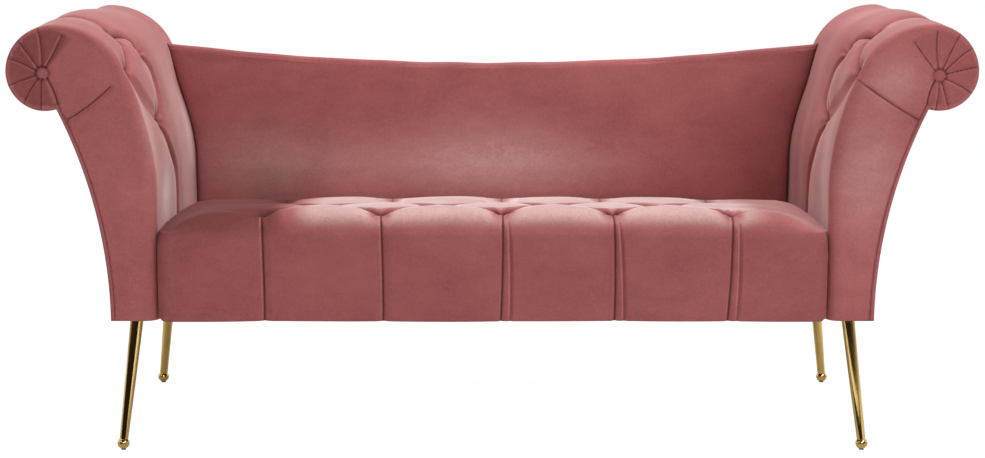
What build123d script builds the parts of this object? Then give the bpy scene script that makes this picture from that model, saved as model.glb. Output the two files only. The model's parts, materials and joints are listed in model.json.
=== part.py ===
from build123d import *
import math
import os

# Double-ended tufted settee with scroll arms, a low back and splayed ball-foot legs.
# Millimetres. +X is to the right as seen from the front, -Y is the front, +Z is up.
# The origin is on the floor, under the middle of the overall box.

# Overall sizes
overall_length = 1710.0
overall_depth = 650.0
underside_height = 254.0
soft_gap = 0.3

# Arm outline, seen from the front
arm_height = 786.0
arm_reach = 255.0
arm_base_thickness = 86.0
arm_lean = 14.5
knee_radius = 500.0
crown_radius = 145.0
scroll_radius = 80.0
curl_radius = 64.0
curl_sweep = 105.0
outer_bow = 23.0
arm_setback = 8.0

# Arm layers, from the velvet inwards
arm_cover_thickness = 20.0
arm_foam_thickness = 10.0
arm_skin_thickness = 4.0
arm_front_padding = 16.0
arm_outer_panel_thickness = 8.0
arm_rear_panel_thickness = 6.0
arm_edge_radius = 14.0
nose_steps = 3
arm_tuck_height = 375.0

# Arm frame
board_thickness = 15.0
base_board_thickness = 18.0
bolt_rail_width = 30.0
bolt_rail_height = 60.0
bolt_rail_lift = 14.0
batten_size = 36.0

# Arm tufts, pleats and scroll button
arm_tuft_front = 105.0
arm_tuft_pitch = 103.0
arm_tuft_top_drop = 34.0
arm_tuft_high_drop = 94.0
arm_tuft_low_drop = 192.0
arm_tuft_depth = 14.0
arm_tuft_radius = 26.0
arm_pleat_depth = 9.0
arm_pleat_half_width = 20.0
roll_pleat_width = 4.0
scroll_pleat_count = 9
scroll_pleat_first = 132.0
scroll_pleat_last = -96.0
scroll_pleat_share = 0.84
face_pleat_depth = 3.0
face_pleat_half_width = 3.0
dart_drop = 75.0
button_drop = 6.0
button_diameter = 21.0
button_thickness = 9.0
button_proud = 4.0
button_edge_radius = 3.0
button_shank_diameter = 4.0
button_seat_radius = 17.0

# Seat
seat_height = 450.0
seat_back_drop = 52.0
seat_nose_radius = 34.0
seat_front_bulge = 6.0
seat_cover_thickness = 42.0
seat_front_wall = 20.0
seat_side_radius = 36.0
seat_crown = 10.0
seat_end_wall = 30.0
seat_foam_base = 340.0
seat_foam_corner = 12.0

# Seat tufts, measured from the frontmost point of the seat
tuft_pitch = 211.0
tuft_row_first = 52.0
tuft_row_pitch = 148.0
tuft_columns = 5
tuft_drift = 10.0
tuft_depth = 20.0
tuft_radius = 34.0
tuft_point_radius = 3.0
pleat_depth = 13.0
pleat_half_width = 34.0
front_pleat_depth = 5.0
front_pleat_half_width = 5.0
tie_diameter = 3.0
tie_hole_gap = 0.25
toggle_diameter = 16.0
toggle_thickness = 3.0

# Seat frame and springs
rail_thickness = 25.0
rail_height = 72.0
rail_lift = 4.0
stretcher_width = 45.0
stretcher_height = 42.0
stretcher_spread = 400.0
corner_block_size = 60.0
corner_block_height = 50.0
dust_cover_thickness = 1.6
dust_cover_margin = 14.0
spring_wire_diameter = 3.8
spring_width = 52.0
spring_pitch = 37.0
spring_spacing = 150.0
clip_wall = 1.4
clip_gap = 0.2
clip_width = 18.0
clip_tail = 12.0
clip_mouth_angle = 70.0
spring_pad_thickness = 3.0

# Back
back_thickness = 103.0
back_middle_height = 657.0
back_end_rise = 39.0
back_recline = 18.0
back_cover_thickness = 25.0
back_foam_thickness = 28.0
back_board_thickness = 4.0
back_outer_panel_thickness = 5.0
back_top_radius = 20.0
back_tuck_height = 345.0
back_rail_height = 60.0
back_frame_margin = 14.0
post_width = 40.0
post_count = 4

# Legs
leg_top_diameter = 25.0
leg_bottom_diameter = 15.0
leg_wall = 2.0
leg_splay = 29.0
leg_inset = 50.0
front_leg_inset = 84.0
rear_leg_inset = 110.0
ball_diameter = 22.0
ball_stud_diameter = 6.0
ball_stud_length = 24.0
glide_diameter = 9.0
glide_height = 4.0
glide_proud = 1.0
leg_plate_size = 50.0
leg_plate_thickness = 3.0
plate_screw_offset = 18.0
plate_screw_diameter = 4.0
plate_screw_length = 14.0
plate_screw_head_diameter = 8.0
plate_screw_head_height = 2.0
screw_hole_gap = 0.2

# Frame bolts
bolt_diameter = 8.0
bolt_hole_gap = 0.3
bolt_head_diameter = 16.0
bolt_head_height = 6.0
nut_diameter = 20.0
nut_thickness = 7.0
bolt_end = 2.0
arm_bolt_count = 4
arm_bolt_inset = 54.0
back_bolt_spread = 960.0

# Planes and lines that several pieces share
seat_front = -overall_depth / 2
rear_face = overall_depth / 2
arm_front = seat_front + arm_setback
arm_back = rear_face - arm_rear_panel_thickness
arm_inner_x = overall_length / 2 - arm_reach
crown_x = overall_length / 2 - scroll_radius
arm_tuft_high = arm_height - arm_tuft_high_drop
back_face = rear_face - back_thickness
back_end_height = back_middle_height + back_end_rise
back_frame_rear = rear_face - back_outer_panel_thickness
back_layers = back_cover_thickness + back_foam_thickness + back_board_thickness
back_frame_front = back_face + back_layers
frame_base = underside_height + rail_lift
rail_top = frame_base + rail_height
frame_front = seat_front + seat_front_bulge + seat_front_wall
rear_rail_face = back_frame_front
side_rail_front = frame_front + rail_thickness
side_rail_rear = rear_rail_face - rail_thickness
board_base = underside_height + leg_plate_thickness
board_front = arm_front + arm_front_padding
board_pad = arm_cover_thickness + arm_foam_thickness + arm_skin_thickness + soft_gap
board_inset = arm_outer_panel_thickness + soft_gap
spring_z = rail_top + clip_wall + clip_gap + spring_wire_diameter / 2
bolt_z = board_base + base_board_thickness + bolt_rail_lift + bolt_rail_height / 2
lean = math.radians(arm_lean)


# Drawing helpers
def flat_point(plane, point, offset=0.0):
    """A point of a drawing in the XZ or the YZ plane, as a point in space."""
    across, up = point
    return (across, offset, up) if plane == "XZ" else (offset, across, up)


def line(plane, start, end):
    return Edge.make_line(flat_point(plane, start), flat_point(plane, end))


def arc(plane, start, middle, end):
    return Edge.make_three_point_arc(*(flat_point(plane, p) for p in (start, middle, end)))


def outline(plane, points):
    """Closed straight-sided outline."""
    return [line(plane, a, b) for a, b in zip(points, points[1:] + points[:1])]


def thicken(plane, edges, first, last):
    """Solid of a closed outline, from one offset of its plane to another."""
    shift = flat_point(plane, (0, 0), first)
    run = flat_point(plane, (0, 0), last - first)
    return Solid.extrude(Face(Wire(edges)).moved(Location(shift)), Vector(*run))


def block(low, high):
    """Box from its lowest to its highest corner."""
    sizes = [b - a for a, b in zip(low, high)]
    return Solid.make_box(*sizes).moved(Location(low))


def rod(start, end, diameter):
    """Round bar between two points."""
    a, b = Vector(*start), Vector(*end)
    return Solid.make_cylinder(diameter / 2, (b - a).length, Plane(a, z_dir=b - a))


def groove(start, end, outward, half_width, depth):
    """Cutter of a V-shaped pleat along a line on a surface whose normal is outward."""
    a, b = Vector(*start), Vector(*end)
    along = (b - a).normalized()
    normal = Vector(*outward)
    normal = (normal - along * normal.dot(along)).normalized()
    side = along.cross(normal) * (2 * half_width)
    corners = [a - normal * depth, a + normal * depth + side, a + normal * depth - side]
    return Solid.extrude(Face(Wire.make_polygon(corners, close=True)), b - a)


def dimple(point, outward, radius, depth, tip=tuft_point_radius):
    """Cutter of a sewn tuft: a cone that opens outwards from its sunk tip."""
    normal = Vector(*outward).normalized()
    base = Vector(*point) - normal * depth
    return Solid.make_cone(tip, tip + 2 * (radius - tip), 2 * depth, Plane(base, z_dir=normal))


def mirrored(shape):
    """The left-hand twin of a right-hand piece."""
    return shape.mirror(Plane.YZ)


def both_sides(shapes):
    return [*shapes, *(mirrored(s) for s in shapes)]


pieces = {}


def keep(name, *solids):
    """Files the solids of one node under its name."""
    pieces[name] = solids


def keep_pair(name, *solids):
    """Files a right-hand piece and its left-hand twin."""
    keep(f"right_{name}", *solids)
    keep(f"left_{name}", *(mirrored(s) for s in solids))


# Arm outline
def turned(centre, radius, degrees):
    """Point of a circle, with the angle counted from +X towards +Z."""
    angle = math.radians(degrees)
    return (centre[0] + radius * math.cos(angle), centre[1] + radius * math.sin(angle))


crown_centre = (crown_x, arm_height - crown_radius)
scroll_centre = (crown_x, arm_height - scroll_radius)
curl_centre = (crown_x + scroll_radius - curl_radius, arm_height - scroll_radius)


def knee(pad):
    """Low end, middle and high end of the bend between the upright and the leaning face."""
    radius = knee_radius - pad
    shoulder = turned(crown_centre, crown_radius - pad, 180 - arm_lean)
    face_x = arm_inner_x + pad
    corner_z = shoulder[1] - (shoulder[0] - face_x) / math.tan(lean)
    centre = (face_x + radius, corner_z - radius * math.tan(lean / 2))
    return [turned(centre, radius, 180 - share * arm_lean) for share in (0, 0.5, 1)]


def curl_end(pad):
    return turned(curl_centre, curl_radius - pad, -curl_sweep)


def arm_face(pad, low):
    """Inner face of the arm, pad inside the velvet, from a low height up to the shoulder."""
    bend_low, bend_middle, bend_high = knee(pad)
    shoulder = turned(crown_centre, crown_radius - pad, 180 - arm_lean)
    return [
        line("XZ", (arm_inner_x + pad, low), bend_low),
        arc("XZ", bend_low, bend_middle, bend_high),
        line("XZ", bend_high, shoulder),
    ]


def arm_roll(pad):
    """Crown, scroll and curl of the arm, from the shoulder round to the throat under the scroll."""
    crown = [turned(crown_centre, crown_radius - pad, t) for t in (180 - arm_lean, 135 - arm_lean / 2, 90)]
    scroll = [turned(scroll_centre, scroll_radius - pad, t) for t in (90, 45, 0)]
    curl = [turned(curl_centre, curl_radius - pad, t) for t in (0, -curl_sweep / 2, -curl_sweep)]
    return [arc("XZ", *crown), arc("XZ", *scroll), arc("XZ", *curl)]


def outer_curve(inset, base):
    """Throat, middle and foot of the hollow outer side, inset from the outer velvet."""
    throat = (curl_end(0)[0] - inset, curl_end(0)[1])
    foot = (arm_inner_x + arm_base_thickness - inset, base)
    run, rise = throat[0] - foot[0], throat[1] - foot[1]
    length = math.hypot(run, rise)
    middle = (
        (throat[0] + foot[0]) / 2 - outer_bow * rise / length,
        (throat[1] + foot[1]) / 2 + outer_bow * run / length,
    )
    return throat, middle, foot


def arm_outline(pad, inset, base, ledge=None):
    """Closed outline of the arm. Below the ledge the inner side reaches out to the seat."""
    throat, middle, foot = outer_curve(inset, base)
    low = base if ledge is None else ledge
    start = (arm_inner_x + (pad if ledge is None else 0), base)
    step = [] if ledge is None else outline(
        "XZ", [start, (arm_inner_x, ledge), (arm_inner_x + pad, ledge)]
    )[:2]
    return [
        *step,
        *arm_face(pad, low),
        *arm_roll(pad),
        line("XZ", curl_end(pad), throat),
        arc("XZ", throat, middle, foot),
        line("XZ", foot, start),
    ]


def arm_band(near, far, low):
    """Closed band between two depths under the velvet, over the inner face, crown and scroll."""
    return [
        *arm_face(near, low),
        *arm_roll(near),
        line("XZ", curl_end(near), curl_end(far)),
        *reversed(arm_roll(far)),
        *reversed(arm_face(far, low)),
        line("XZ", (arm_inner_x + far, low), (arm_inner_x + near, low)),
    ]


def arm_surface(height):
    """Point of the velvet on the arm's inner face at a height, and its outward normal, as X and Z."""
    bend_low, _, bend_high = knee(0)
    shoulder_z = turned(crown_centre, crown_radius, 180 - arm_lean)[1]
    if height <= bend_low[1]:
        return arm_inner_x, (-1.0, 0.0)
    if height <= bend_high[1]:
        turn = math.asin((height - bend_low[1]) / knee_radius)
        return arm_inner_x + knee_radius * (1 - math.cos(turn)), (-math.cos(turn), math.sin(turn))
    if height <= shoulder_z:
        run = bend_high[0] + (height - bend_high[1]) * math.tan(lean)
        return run, (-math.cos(lean), math.sin(lean))
    turn = math.asin((height - crown_centre[1]) / crown_radius)
    return crown_x - crown_radius * math.cos(turn), (-math.cos(turn), math.sin(turn))


# Arm upholstery
def surface_point(along, height):
    """Point on the arm's inner velvet, with the depth counted from the arm's front face, and its normal."""
    x, (nx, nz) = arm_surface(height)
    return (x, arm_front + along, height), (nx, 0, nz)


arm_tufts = [
    (arm_tuft_front, arm_tuft_high),
    (arm_tuft_front + arm_tuft_pitch, arm_height - arm_tuft_low_drop),
    (arm_tuft_front + 2 * arm_tuft_pitch, arm_tuft_high),
    (arm_tuft_front + arm_tuft_pitch, arm_height - arm_tuft_top_drop),
]
button_place = (curl_centre[0], arm_front, curl_centre[1] - button_drop)


def arm_tuft_cutters():
    """Diamond of sewn tufts on the inner face, the pleats between them and the pleat down to the seat."""
    cutters = []
    for along, height in arm_tufts:
        point, normal = surface_point(along, height)
        cutters.append(dimple(point, normal, arm_tuft_radius, arm_tuft_depth))
    lowest = arm_tufts[1]
    bend, tuck = (lowest[0], knee(0)[0][1]), (lowest[0], arm_tuck_height)
    runs = [*zip(arm_tufts, arm_tufts[1:] + arm_tufts[:1]), (lowest, bend), (bend, tuck)]
    for first, last in runs:
        (start, normal_a), (end, normal_b) = surface_point(*first), surface_point(*last)
        normal = [a + b for a, b in zip(normal_a, normal_b)]
        cutters.append(groove(start, end, normal, arm_pleat_half_width, arm_pleat_depth))
    return cutters


def roll_pleat_cutter():
    """Pleat that runs from the highest tuft over the crown and round the scroll."""
    along, height = arm_tufts[-1]
    near = arm_front + along - roll_pleat_width / 2
    band = arm_band(-arm_pleat_depth, arm_pleat_depth, arm_tuck_height)
    slot = thicken("XZ", band, near, near + roll_pleat_width)
    below = block((arm_inner_x - arm_reach, seat_front, 0), (crown_x, rear_face, height))
    return slot.cut(below)


def face_pleat_cutters():
    """Radial pleats round the scroll button and the dart across the front face."""
    bx, by, bz = button_place
    step = (scroll_pleat_last - scroll_pleat_first) / (scroll_pleat_count - 1)
    cutters = [dimple(button_place, (0, -1, 0), button_seat_radius, button_thickness - button_proud)]
    for number in range(scroll_pleat_count):
        end = turned((bx, bz), curl_radius * scroll_pleat_share, scroll_pleat_first + number * step)
        rim = (end[0], by, end[1])
        cutters.append(groove(button_place, rim, (0, -1, 0), face_pleat_half_width, face_pleat_depth))
    dart_start = (arm_surface(arm_tuft_high)[0] + arm_edge_radius, by, arm_tuft_high)
    dart_end_z = arm_tuft_high - dart_drop
    dart_end = (outer_curve(arm_outer_panel_thickness, underside_height)[0][0], by, dart_end_z)
    cutters.append(groove(dart_start, dart_end, (0, -1, 0), face_pleat_half_width, face_pleat_depth))
    pocket_y = by + button_thickness - button_proud + soft_gap
    cutters.append(rod(button_place, (bx, pocket_y, bz), button_diameter + 2 * soft_gap))
    cutters.append(rod(button_place, (bx, board_front, bz), button_shank_diameter + 2 * soft_gap))
    return cutters


def arm_nose():
    """Front face of the arm, rounded over towards the inner face, crown, scroll and curl."""
    wires = []
    for step in range(nose_steps + 1):
        angle = math.radians(90 * step / nose_steps)
        pad = arm_edge_radius * (1 - math.cos(angle))
        depth = arm_edge_radius * (1 - math.sin(angle))
        wire = Wire(arm_outline(pad, arm_outer_panel_thickness, underside_height))
        wires.append(wire.moved(Location((0, arm_front + depth, 0))))
    return Solid.make_loft(wires, ruled=True)


def arm_cover():
    """Padded velvet of the inner face, crown, scroll and front face, as one quilted shell."""
    panel = arm_outer_panel_thickness
    base = underside_height - arm_setback
    rest = thicken("XZ", arm_outline(0, panel, underside_height), arm_front + arm_edge_radius, arm_back)
    solid = rest.fuse(arm_nose())
    throat, middle, foot = outer_curve(panel - panel / 4, base)
    hollow = [
        *arm_face(arm_cover_thickness, base),
        *arm_roll(arm_cover_thickness),
        line("XZ", curl_end(arm_cover_thickness), curl_end(0)),
        line("XZ", curl_end(0), throat),
        arc("XZ", throat, middle, foot),
        line("XZ", foot, (arm_inner_x + arm_cover_thickness, base)),
    ]
    cavity = thicken("XZ", hollow, board_front, rear_face)
    below = block(
        (arm_inner_x - arm_setback, board_front, base),
        (arm_inner_x + 2 * arm_cover_thickness, rear_face, arm_tuck_height),
    )
    shell = solid.cut(cavity, below).cut(*face_pleat_cutters())
    for cutter in [roll_pleat_cutter(), *arm_tuft_cutters()]:
        shell = shell.cut(cutter)
    return shell


def scroll_button():
    """Velvet-covered button with its shank through the front face."""
    bx, by, bz = button_place
    front = by - button_proud
    head = rod((bx, front, bz), (bx, front + button_thickness, bz), button_diameter)
    front_rim = head.edges().filter_by(GeomType.CIRCLE).sort_by(Axis.Y)[0]
    head = head.fillet(button_edge_radius, [front_rim])
    return head.fuse(rod((bx, by, bz), (bx, board_front, bz), button_shank_diameter))


def arm_outer_panel():
    """Flat-covered outer side of the arm, whose front edge makes the seam line of the front face."""
    throat, middle, foot = outer_curve(0, underside_height)
    inner = outer_curve(arm_outer_panel_thickness, underside_height)
    edges = [
        arc("XZ", throat, middle, foot),
        line("XZ", foot, inner[2]),
        arc("XZ", *reversed(inner)),
        line("XZ", inner[0], throat),
    ]
    return thicken("XZ", edges, arm_front, rear_face)


def arm_layer(near, far):
    """Layer under the velvet, a little clear of the layer outside it."""
    return thicken("XZ", arm_band(near + soft_gap, far, arm_tuck_height), board_front, arm_back)


def build_arm_upholstery():
    panel = arm_outer_panel_thickness
    rear = thicken("XZ", arm_outline(0, panel, underside_height), arm_back, rear_face)
    foam_far = arm_cover_thickness + arm_foam_thickness
    keep_pair("arm_cover", arm_cover())
    keep_pair("scroll_button", scroll_button())
    keep_pair("arm_outer_panel", arm_outer_panel())
    keep_pair("arm_rear_panel", rear)
    keep_pair("arm_foam", arm_layer(arm_cover_thickness, foam_far))
    keep_pair("arm_skin", arm_layer(foam_far, foam_far + arm_skin_thickness))


# Arm frame
leg_top_x = arm_inner_x + leg_inset
leg_tops = [arm_front + front_leg_inset, arm_back - rear_leg_inset]
arm_bolt_first, arm_bolt_last = side_rail_front + arm_bolt_inset, side_rail_rear - arm_bolt_inset
arm_bolt_pitch = (arm_bolt_last - arm_bolt_first) / (arm_bolt_count - 1)
arm_bolt_ys = [arm_bolt_first + n * arm_bolt_pitch for n in range(arm_bolt_count)]


def plate_screw_places():
    """Screw centres of the leg plates on the right-hand side."""
    offsets = [(sx * plate_screw_offset, sy * plate_screw_offset) for sx in (-1, 1) for sy in (-1, 1)]
    return [(leg_top_x + dx, y + dy) for y in leg_tops for dx, dy in offsets]


def arm_core(first, last):
    """Room for the frame inside the arm's padding and panels, above the leg plates."""
    edges = arm_outline(board_pad, board_inset, underside_height, arm_tuck_height)
    low = (arm_inner_x, first, underside_height)
    below = block(low, (arm_inner_x + arm_base_thickness, last, board_base))
    return thicken("XZ", edges, first, last).cut(below)


def build_arm_frame():
    front, rear = board_front, arm_back - board_thickness
    inside, last = front + board_thickness, rear
    outer_x = arm_inner_x + arm_base_thickness
    base_top = board_base + base_board_thickness
    base_board = arm_core(inside, last) & block((arm_inner_x, inside, board_base), (outer_x, last, base_top))
    screw_hole = plate_screw_diameter + 2 * screw_hole_gap
    pilot_top = board_base + plate_screw_length - leg_plate_thickness
    pilots = [rod((x, y, board_base), (x, y, pilot_top), screw_hole) for x, y in plate_screw_places()]
    bolt_hole = bolt_diameter + 2 * bolt_hole_gap
    rail_low, rail_high = bolt_z - bolt_rail_height / 2, bolt_z + bolt_rail_height / 2
    bolt_rail = block((arm_inner_x, inside, rail_low), (arm_inner_x + bolt_rail_width, last, rail_high))
    holes = [
        rod((arm_inner_x, y, bolt_z), (arm_inner_x + bolt_rail_width, y, bolt_z), bolt_hole)
        for y in arm_bolt_ys
    ]
    bx, _, bz = button_place
    shank_hole = rod((bx, front, bz), (bx, inside, bz), button_shank_diameter)
    keep_pair("arm_front_board", arm_core(front, inside).cut(shank_hole))
    keep_pair("arm_rear_board", arm_core(rear, arm_back))
    keep_pair("arm_base_board", base_board.solid().cut(*pilots))
    keep_pair("arm_bolt_rail", bolt_rail.cut(*holes))
    keep_pair("arm_battens", *arm_battens(inside, last))


def arm_battens(first, last):
    """Spreaders between the two boards: under the crown, in the scroll and behind the outer panel."""
    half = batten_size / 2
    crown = turned(crown_centre, crown_radius - board_pad - batten_size, 135 - arm_lean / 2)
    square = [(-half, -half), (half, -half), (half, half), (-half, half)]
    under_crown = outline("XZ", [(crown[0] + dx, crown[1] + dz) for dx, dz in square])
    dowel = rod((curl_centre[0], first, curl_centre[1]), (curl_centre[0], last, curl_centre[1]), batten_size)
    _, middle, _ = outer_curve(arm_outer_panel_thickness, board_base)
    side = outline("XZ", [(middle[0] + dx - batten_size, middle[1] + dz) for dx, dz in square])
    return [thicken("XZ", under_crown, first, last), dowel, thicken("XZ", side, first, last)]


# Seat upholstery
crest_y = seat_front + seat_front_bulge + seat_nose_radius
seat_rear = back_face - soft_gap
seat_half = arm_inner_x - soft_gap
seat_side = seat_half - seat_side_radius
foam_half = seat_half - seat_end_wall
top_run = seat_rear - crest_y
top_radius = (top_run**2 + seat_back_drop**2) / (2 * seat_back_drop)


def seat_top(y):
    """Height of the seat's crown at a depth."""
    back = max(0.0, y - crest_y)
    return seat_height - top_radius + math.sqrt(top_radius**2 - back**2)


def seat_outline(front, below, corner, base, rear):
    """Side outline of the seat, with its front and top set in, and a rounded front corner."""
    nose_y = seat_front + seat_front_bulge + front
    turn_y = nose_y + corner
    top = [(y, seat_top(y) - below) for y in (turn_y, (turn_y + rear) / 2, rear)]
    corner_centre = (turn_y, top[0][1] - corner)
    nose = [turned(corner_centre, corner, t) for t in (180, 135, 90)]
    bulge = seat_front_bulge if front == 0 else 0.0
    middle = (nose_y - bulge, (base + nose[0][1]) / 2)
    face = arc("YZ", (nose_y, base), middle, nose[0]) if bulge else line("YZ", (nose_y, base), nose[0])
    return [
        face,
        arc("YZ", *nose),
        arc("YZ", *top),
        *outline("YZ", [top[2], (rear, base), (nose_y, base)])[:2],
    ]


def tuft_rows():
    """Tuft centres, row by row from the front, in a diamond layout."""
    rows = []
    for row, count in enumerate((tuft_columns, tuft_columns - 1, tuft_columns)):
        y = seat_front + tuft_row_first + row * tuft_row_pitch
        xs = [(n - (count - 1) / 2) * tuft_pitch + tuft_drift for n in range(count)]
        rows.append([(x, y) for x in xs])
    return rows


def side_drop(x):
    """How far the seat's top falls below its middle line at a distance from the middle."""
    inward = seat_side_radius - min(seat_side_radius, seat_half - abs(x))
    rounding = seat_side_radius - math.sqrt(seat_side_radius**2 - inward**2)
    return seat_crown * (x / seat_half) ** 2 + rounding


def seat_stations():
    """Places across the seat where its side outline is drawn."""
    near_end = [seat_half - share * seat_side_radius for share in (0, 0.1, 0.4, 1)]
    right = [*near_end, *(seat_half * share for share in (0.75, 0.5, 0.25))]
    return sorted([*right, 0.0, *(-x for x in right)])


def on_seat(x, y):
    return (x, y, seat_top(y) - side_drop(x))


def seat_pleat_lines():
    """Pleats between neighbouring tufts, out to the arms and back to the backrest."""
    front, middle, rear = tuft_rows()
    lines = []
    for row in (front, rear):
        for n, tuft in enumerate(middle):
            lines += [(tuft, row[n]), (tuft, row[n + 1])]
        lines += [(row[0], (-seat_side, row[0][1])), (row[-1], (seat_side, row[-1][1]))]
    lines += [(tuft, (tuft[0], seat_rear)) for tuft in rear]
    lines += [(tuft, (tuft[0], crest_y)) for tuft in front]
    return lines


def seat_cover():
    """Quilted velvet of the seat, with its sewn tufts, pleats and front pleats."""
    wires = []
    for x in seat_stations():
        edges = seat_outline(0, side_drop(x), seat_nose_radius, underside_height, seat_rear)
        wires.append(Wire(edges).moved(Location((x, 0, 0))))
    solid = Solid.make_loft(wires, ruled=True)
    hollow = seat_outline(seat_front_wall, seat_cover_thickness, seat_foam_corner, underside_height, rear_face)
    frame_room = block((-arm_inner_x, frame_front, 0), (arm_inner_x, rear_face, seat_foam_base))
    cutters = [thicken("YZ", hollow, -foam_half, foam_half), frame_room]
    up, front = (0, 0, 1), (0, -1, 0)
    cutters += [dimple(on_seat(*t), up, tuft_radius, tuft_depth) for row in tuft_rows() for t in row]
    for first, last in seat_pleat_lines():
        cutters.append(groove(on_seat(*first), on_seat(*last), up, pleat_half_width, pleat_depth))
    for x, _ in tuft_rows()[0]:
        low, high = (x, seat_front, underside_height), (x, seat_front, seat_height)
        cutters.append(groove(low, high, front, front_pleat_half_width, front_pleat_depth + seat_front_bulge / 2))
    return solid.cut(*cutters)


def build_seat_upholstery():
    under = seat_cover_thickness + soft_gap
    edges = seat_outline(seat_front_wall, under, seat_foam_corner, seat_foam_base, seat_rear)
    foam = thicken("YZ", edges, soft_gap - foam_half, foam_half - soft_gap)
    ties, holes = [], []
    hole = tie_diameter + 2 * tie_hole_gap
    for x, y in [t for row in tuft_rows() for t in row]:
        low, high = (x, y, seat_foam_base), (x, y, seat_top(y) - under)
        seat = (x, y, seat_foam_base + toggle_thickness)
        toggle = rod(low, seat, toggle_diameter)
        ties.append(rod(low, high, tie_diameter).fuse(toggle))
        pocket = (x, y, seat_foam_base + toggle_thickness + tie_hole_gap)
        holes += [rod(low, on_seat(x, y), hole), rod(low, pocket, toggle_diameter + 2 * tie_hole_gap)]
    pad_front, pad_rear = frame_front, back_face - soft_gap
    keep("seat_cover", seat_cover())
    keep("seat_foam", foam.cut(*holes))
    keep("tuft_ties", *ties)
    pad_low = (-seat_half, pad_front, seat_foam_base - spring_pad_thickness)
    keep("spring_pad", block(pad_low, (seat_half, pad_rear, seat_foam_base)))


# Seat frame


def side_rail():
    low = (arm_inner_x - rail_thickness, side_rail_front, frame_base)
    solid = block(low, (arm_inner_x, side_rail_rear, rail_top))
    hole = bolt_diameter + 2 * bolt_hole_gap
    return solid.cut(*(rod((low[0], y, bolt_z), (arm_inner_x, y, bolt_z), hole) for y in arm_bolt_ys))


def corner_block(y, toward):
    """Glued corner block, a triangle seen from above."""
    x = arm_inner_x - rail_thickness
    corners = [(x, y), (x - corner_block_size, y), (x, y + toward * corner_block_size)]
    face = Face(Wire.make_polygon([(a, b, frame_base) for a, b in corners], close=True))
    return Solid.extrude(face, Vector(0, 0, corner_block_height))


def back_bolt_xs():
    return [-back_bolt_spread / 2, -back_bolt_spread / 6, back_bolt_spread / 6, back_bolt_spread / 2]


def build_seat_frame():
    rear_rail = block((-arm_inner_x, side_rail_rear, frame_base), (arm_inner_x, rear_rail_face, rail_top))
    hole = bolt_diameter + 2 * bolt_hole_gap
    holes = [rod((x, side_rail_rear, bolt_z), (x, rear_rail_face, bolt_z), hole) for x in back_bolt_xs()]
    stretchers = []
    for x in (-stretcher_spread / 2, stretcher_spread / 2):
        low = (x - stretcher_width / 2, side_rail_front, frame_base)
        stretchers.append(block(low, (x + stretcher_width / 2, side_rail_rear, frame_base + stretcher_height)))
    dust_low = (-arm_inner_x + dust_cover_margin, frame_front, frame_base - dust_cover_thickness)
    dust_high = (arm_inner_x - dust_cover_margin, rear_rail_face, frame_base)
    keep("front_rail", block((-arm_inner_x, frame_front, frame_base), (arm_inner_x, side_rail_front, rail_top)))
    keep("rear_rail", rear_rail.cut(*holes))
    keep_pair("side_rail", side_rail())
    keep("seat_stretchers", *stretchers)
    keep("corner_blocks", *both_sides([corner_block(side_rail_front, 1), corner_block(side_rail_rear, -1)]))
    keep("dust_cover", block(dust_low, dust_high))


# Springs
spring_front = frame_front + rail_thickness / 2
spring_rear = rear_rail_face - rail_thickness / 2


def spring_xs():
    count = int((2 * seat_half - spring_width) // spring_spacing) + 1
    return [(n - (count - 1) / 2) * spring_spacing for n in range(count)]


def sinuous_spring(x):
    """Flat zigzag spring of half-round turns, with a straight bar at each end."""
    turns = 2 * int((spring_rear - spring_front) // (2 * spring_pitch)) + 1
    pitch = (spring_rear - spring_front) / turns
    reach = spring_width / 2 - pitch / 2
    edges = [Edge.make_line((x + reach, spring_front, spring_z), (x - reach, spring_front, spring_z))]
    side = -1
    for n in range(turns):
        y, tip = spring_front + n * pitch, x + side * (reach + pitch / 2)
        start, end = (x + side * reach, y, spring_z), (x + side * reach, y + pitch, spring_z)
        edges.append(Edge.make_three_point_arc(start, (tip, y + pitch / 2, spring_z), end))
        side = -side
        edges.append(Edge.make_line(end, (x + side * reach, y + pitch, spring_z)))
    start = Plane(origin=edges[0].position_at(0), z_dir=edges[0].tangent_at(0))
    section = Face(Wire.make_circle(spring_wire_diameter / 2, start))
    return Solid.sweep(section, Wire(edges))


def spring_clip(x, y, toward):
    """Rolled clip that holds a spring's end bar on a rail, with a nailed tail."""
    bore = spring_wire_diameter / 2 + clip_gap
    outer = bore + clip_wall
    low = x - clip_width / 2
    barrel = rod((low, y, spring_z), (low + clip_width, y, spring_z), 2 * outer)
    tail_low = (low, min(y, y + toward * clip_tail), spring_z - outer)
    tail_high = (low + clip_width, max(y, y + toward * clip_tail), spring_z - bore)
    tail = block(tail_low, tail_high)
    mouth_dir = turned((0, 0), 2 * outer, 90 - toward * clip_mouth_angle)
    mouth_far = (low, y + mouth_dir[0], spring_z + mouth_dir[1])
    mouth = groove(
        (low - clip_wall, y, spring_z),
        (low + clip_width + clip_wall, y, spring_z),
        (0, mouth_far[1] - y, mouth_far[2] - spring_z),
        bore,
        clip_gap,
    )
    hole = rod((low, y, spring_z), (low + clip_width, y, spring_z), 2 * bore)
    return barrel.fuse(tail).cut(hole, mouth)


def build_springs():
    springs = [sinuous_spring(x) for x in spring_xs()]
    clips = [spring_clip(x, spring_front, -1) for x in spring_xs()]
    clips += [spring_clip(x, spring_rear, 1) for x in spring_xs()]
    keep("sinuous_springs", *springs)
    keep("spring_clips", *clips)


# Back
def back_top(x, drop=0.0):
    """Height of the back's hollow top edge at a distance from the middle."""
    half = arm_surface(back_end_height)[0] - soft_gap
    rise = back_end_height - back_middle_height
    radius = (half**2 + rise**2) / (2 * rise)
    return back_middle_height - drop + radius - math.sqrt(radius**2 - x**2)


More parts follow.
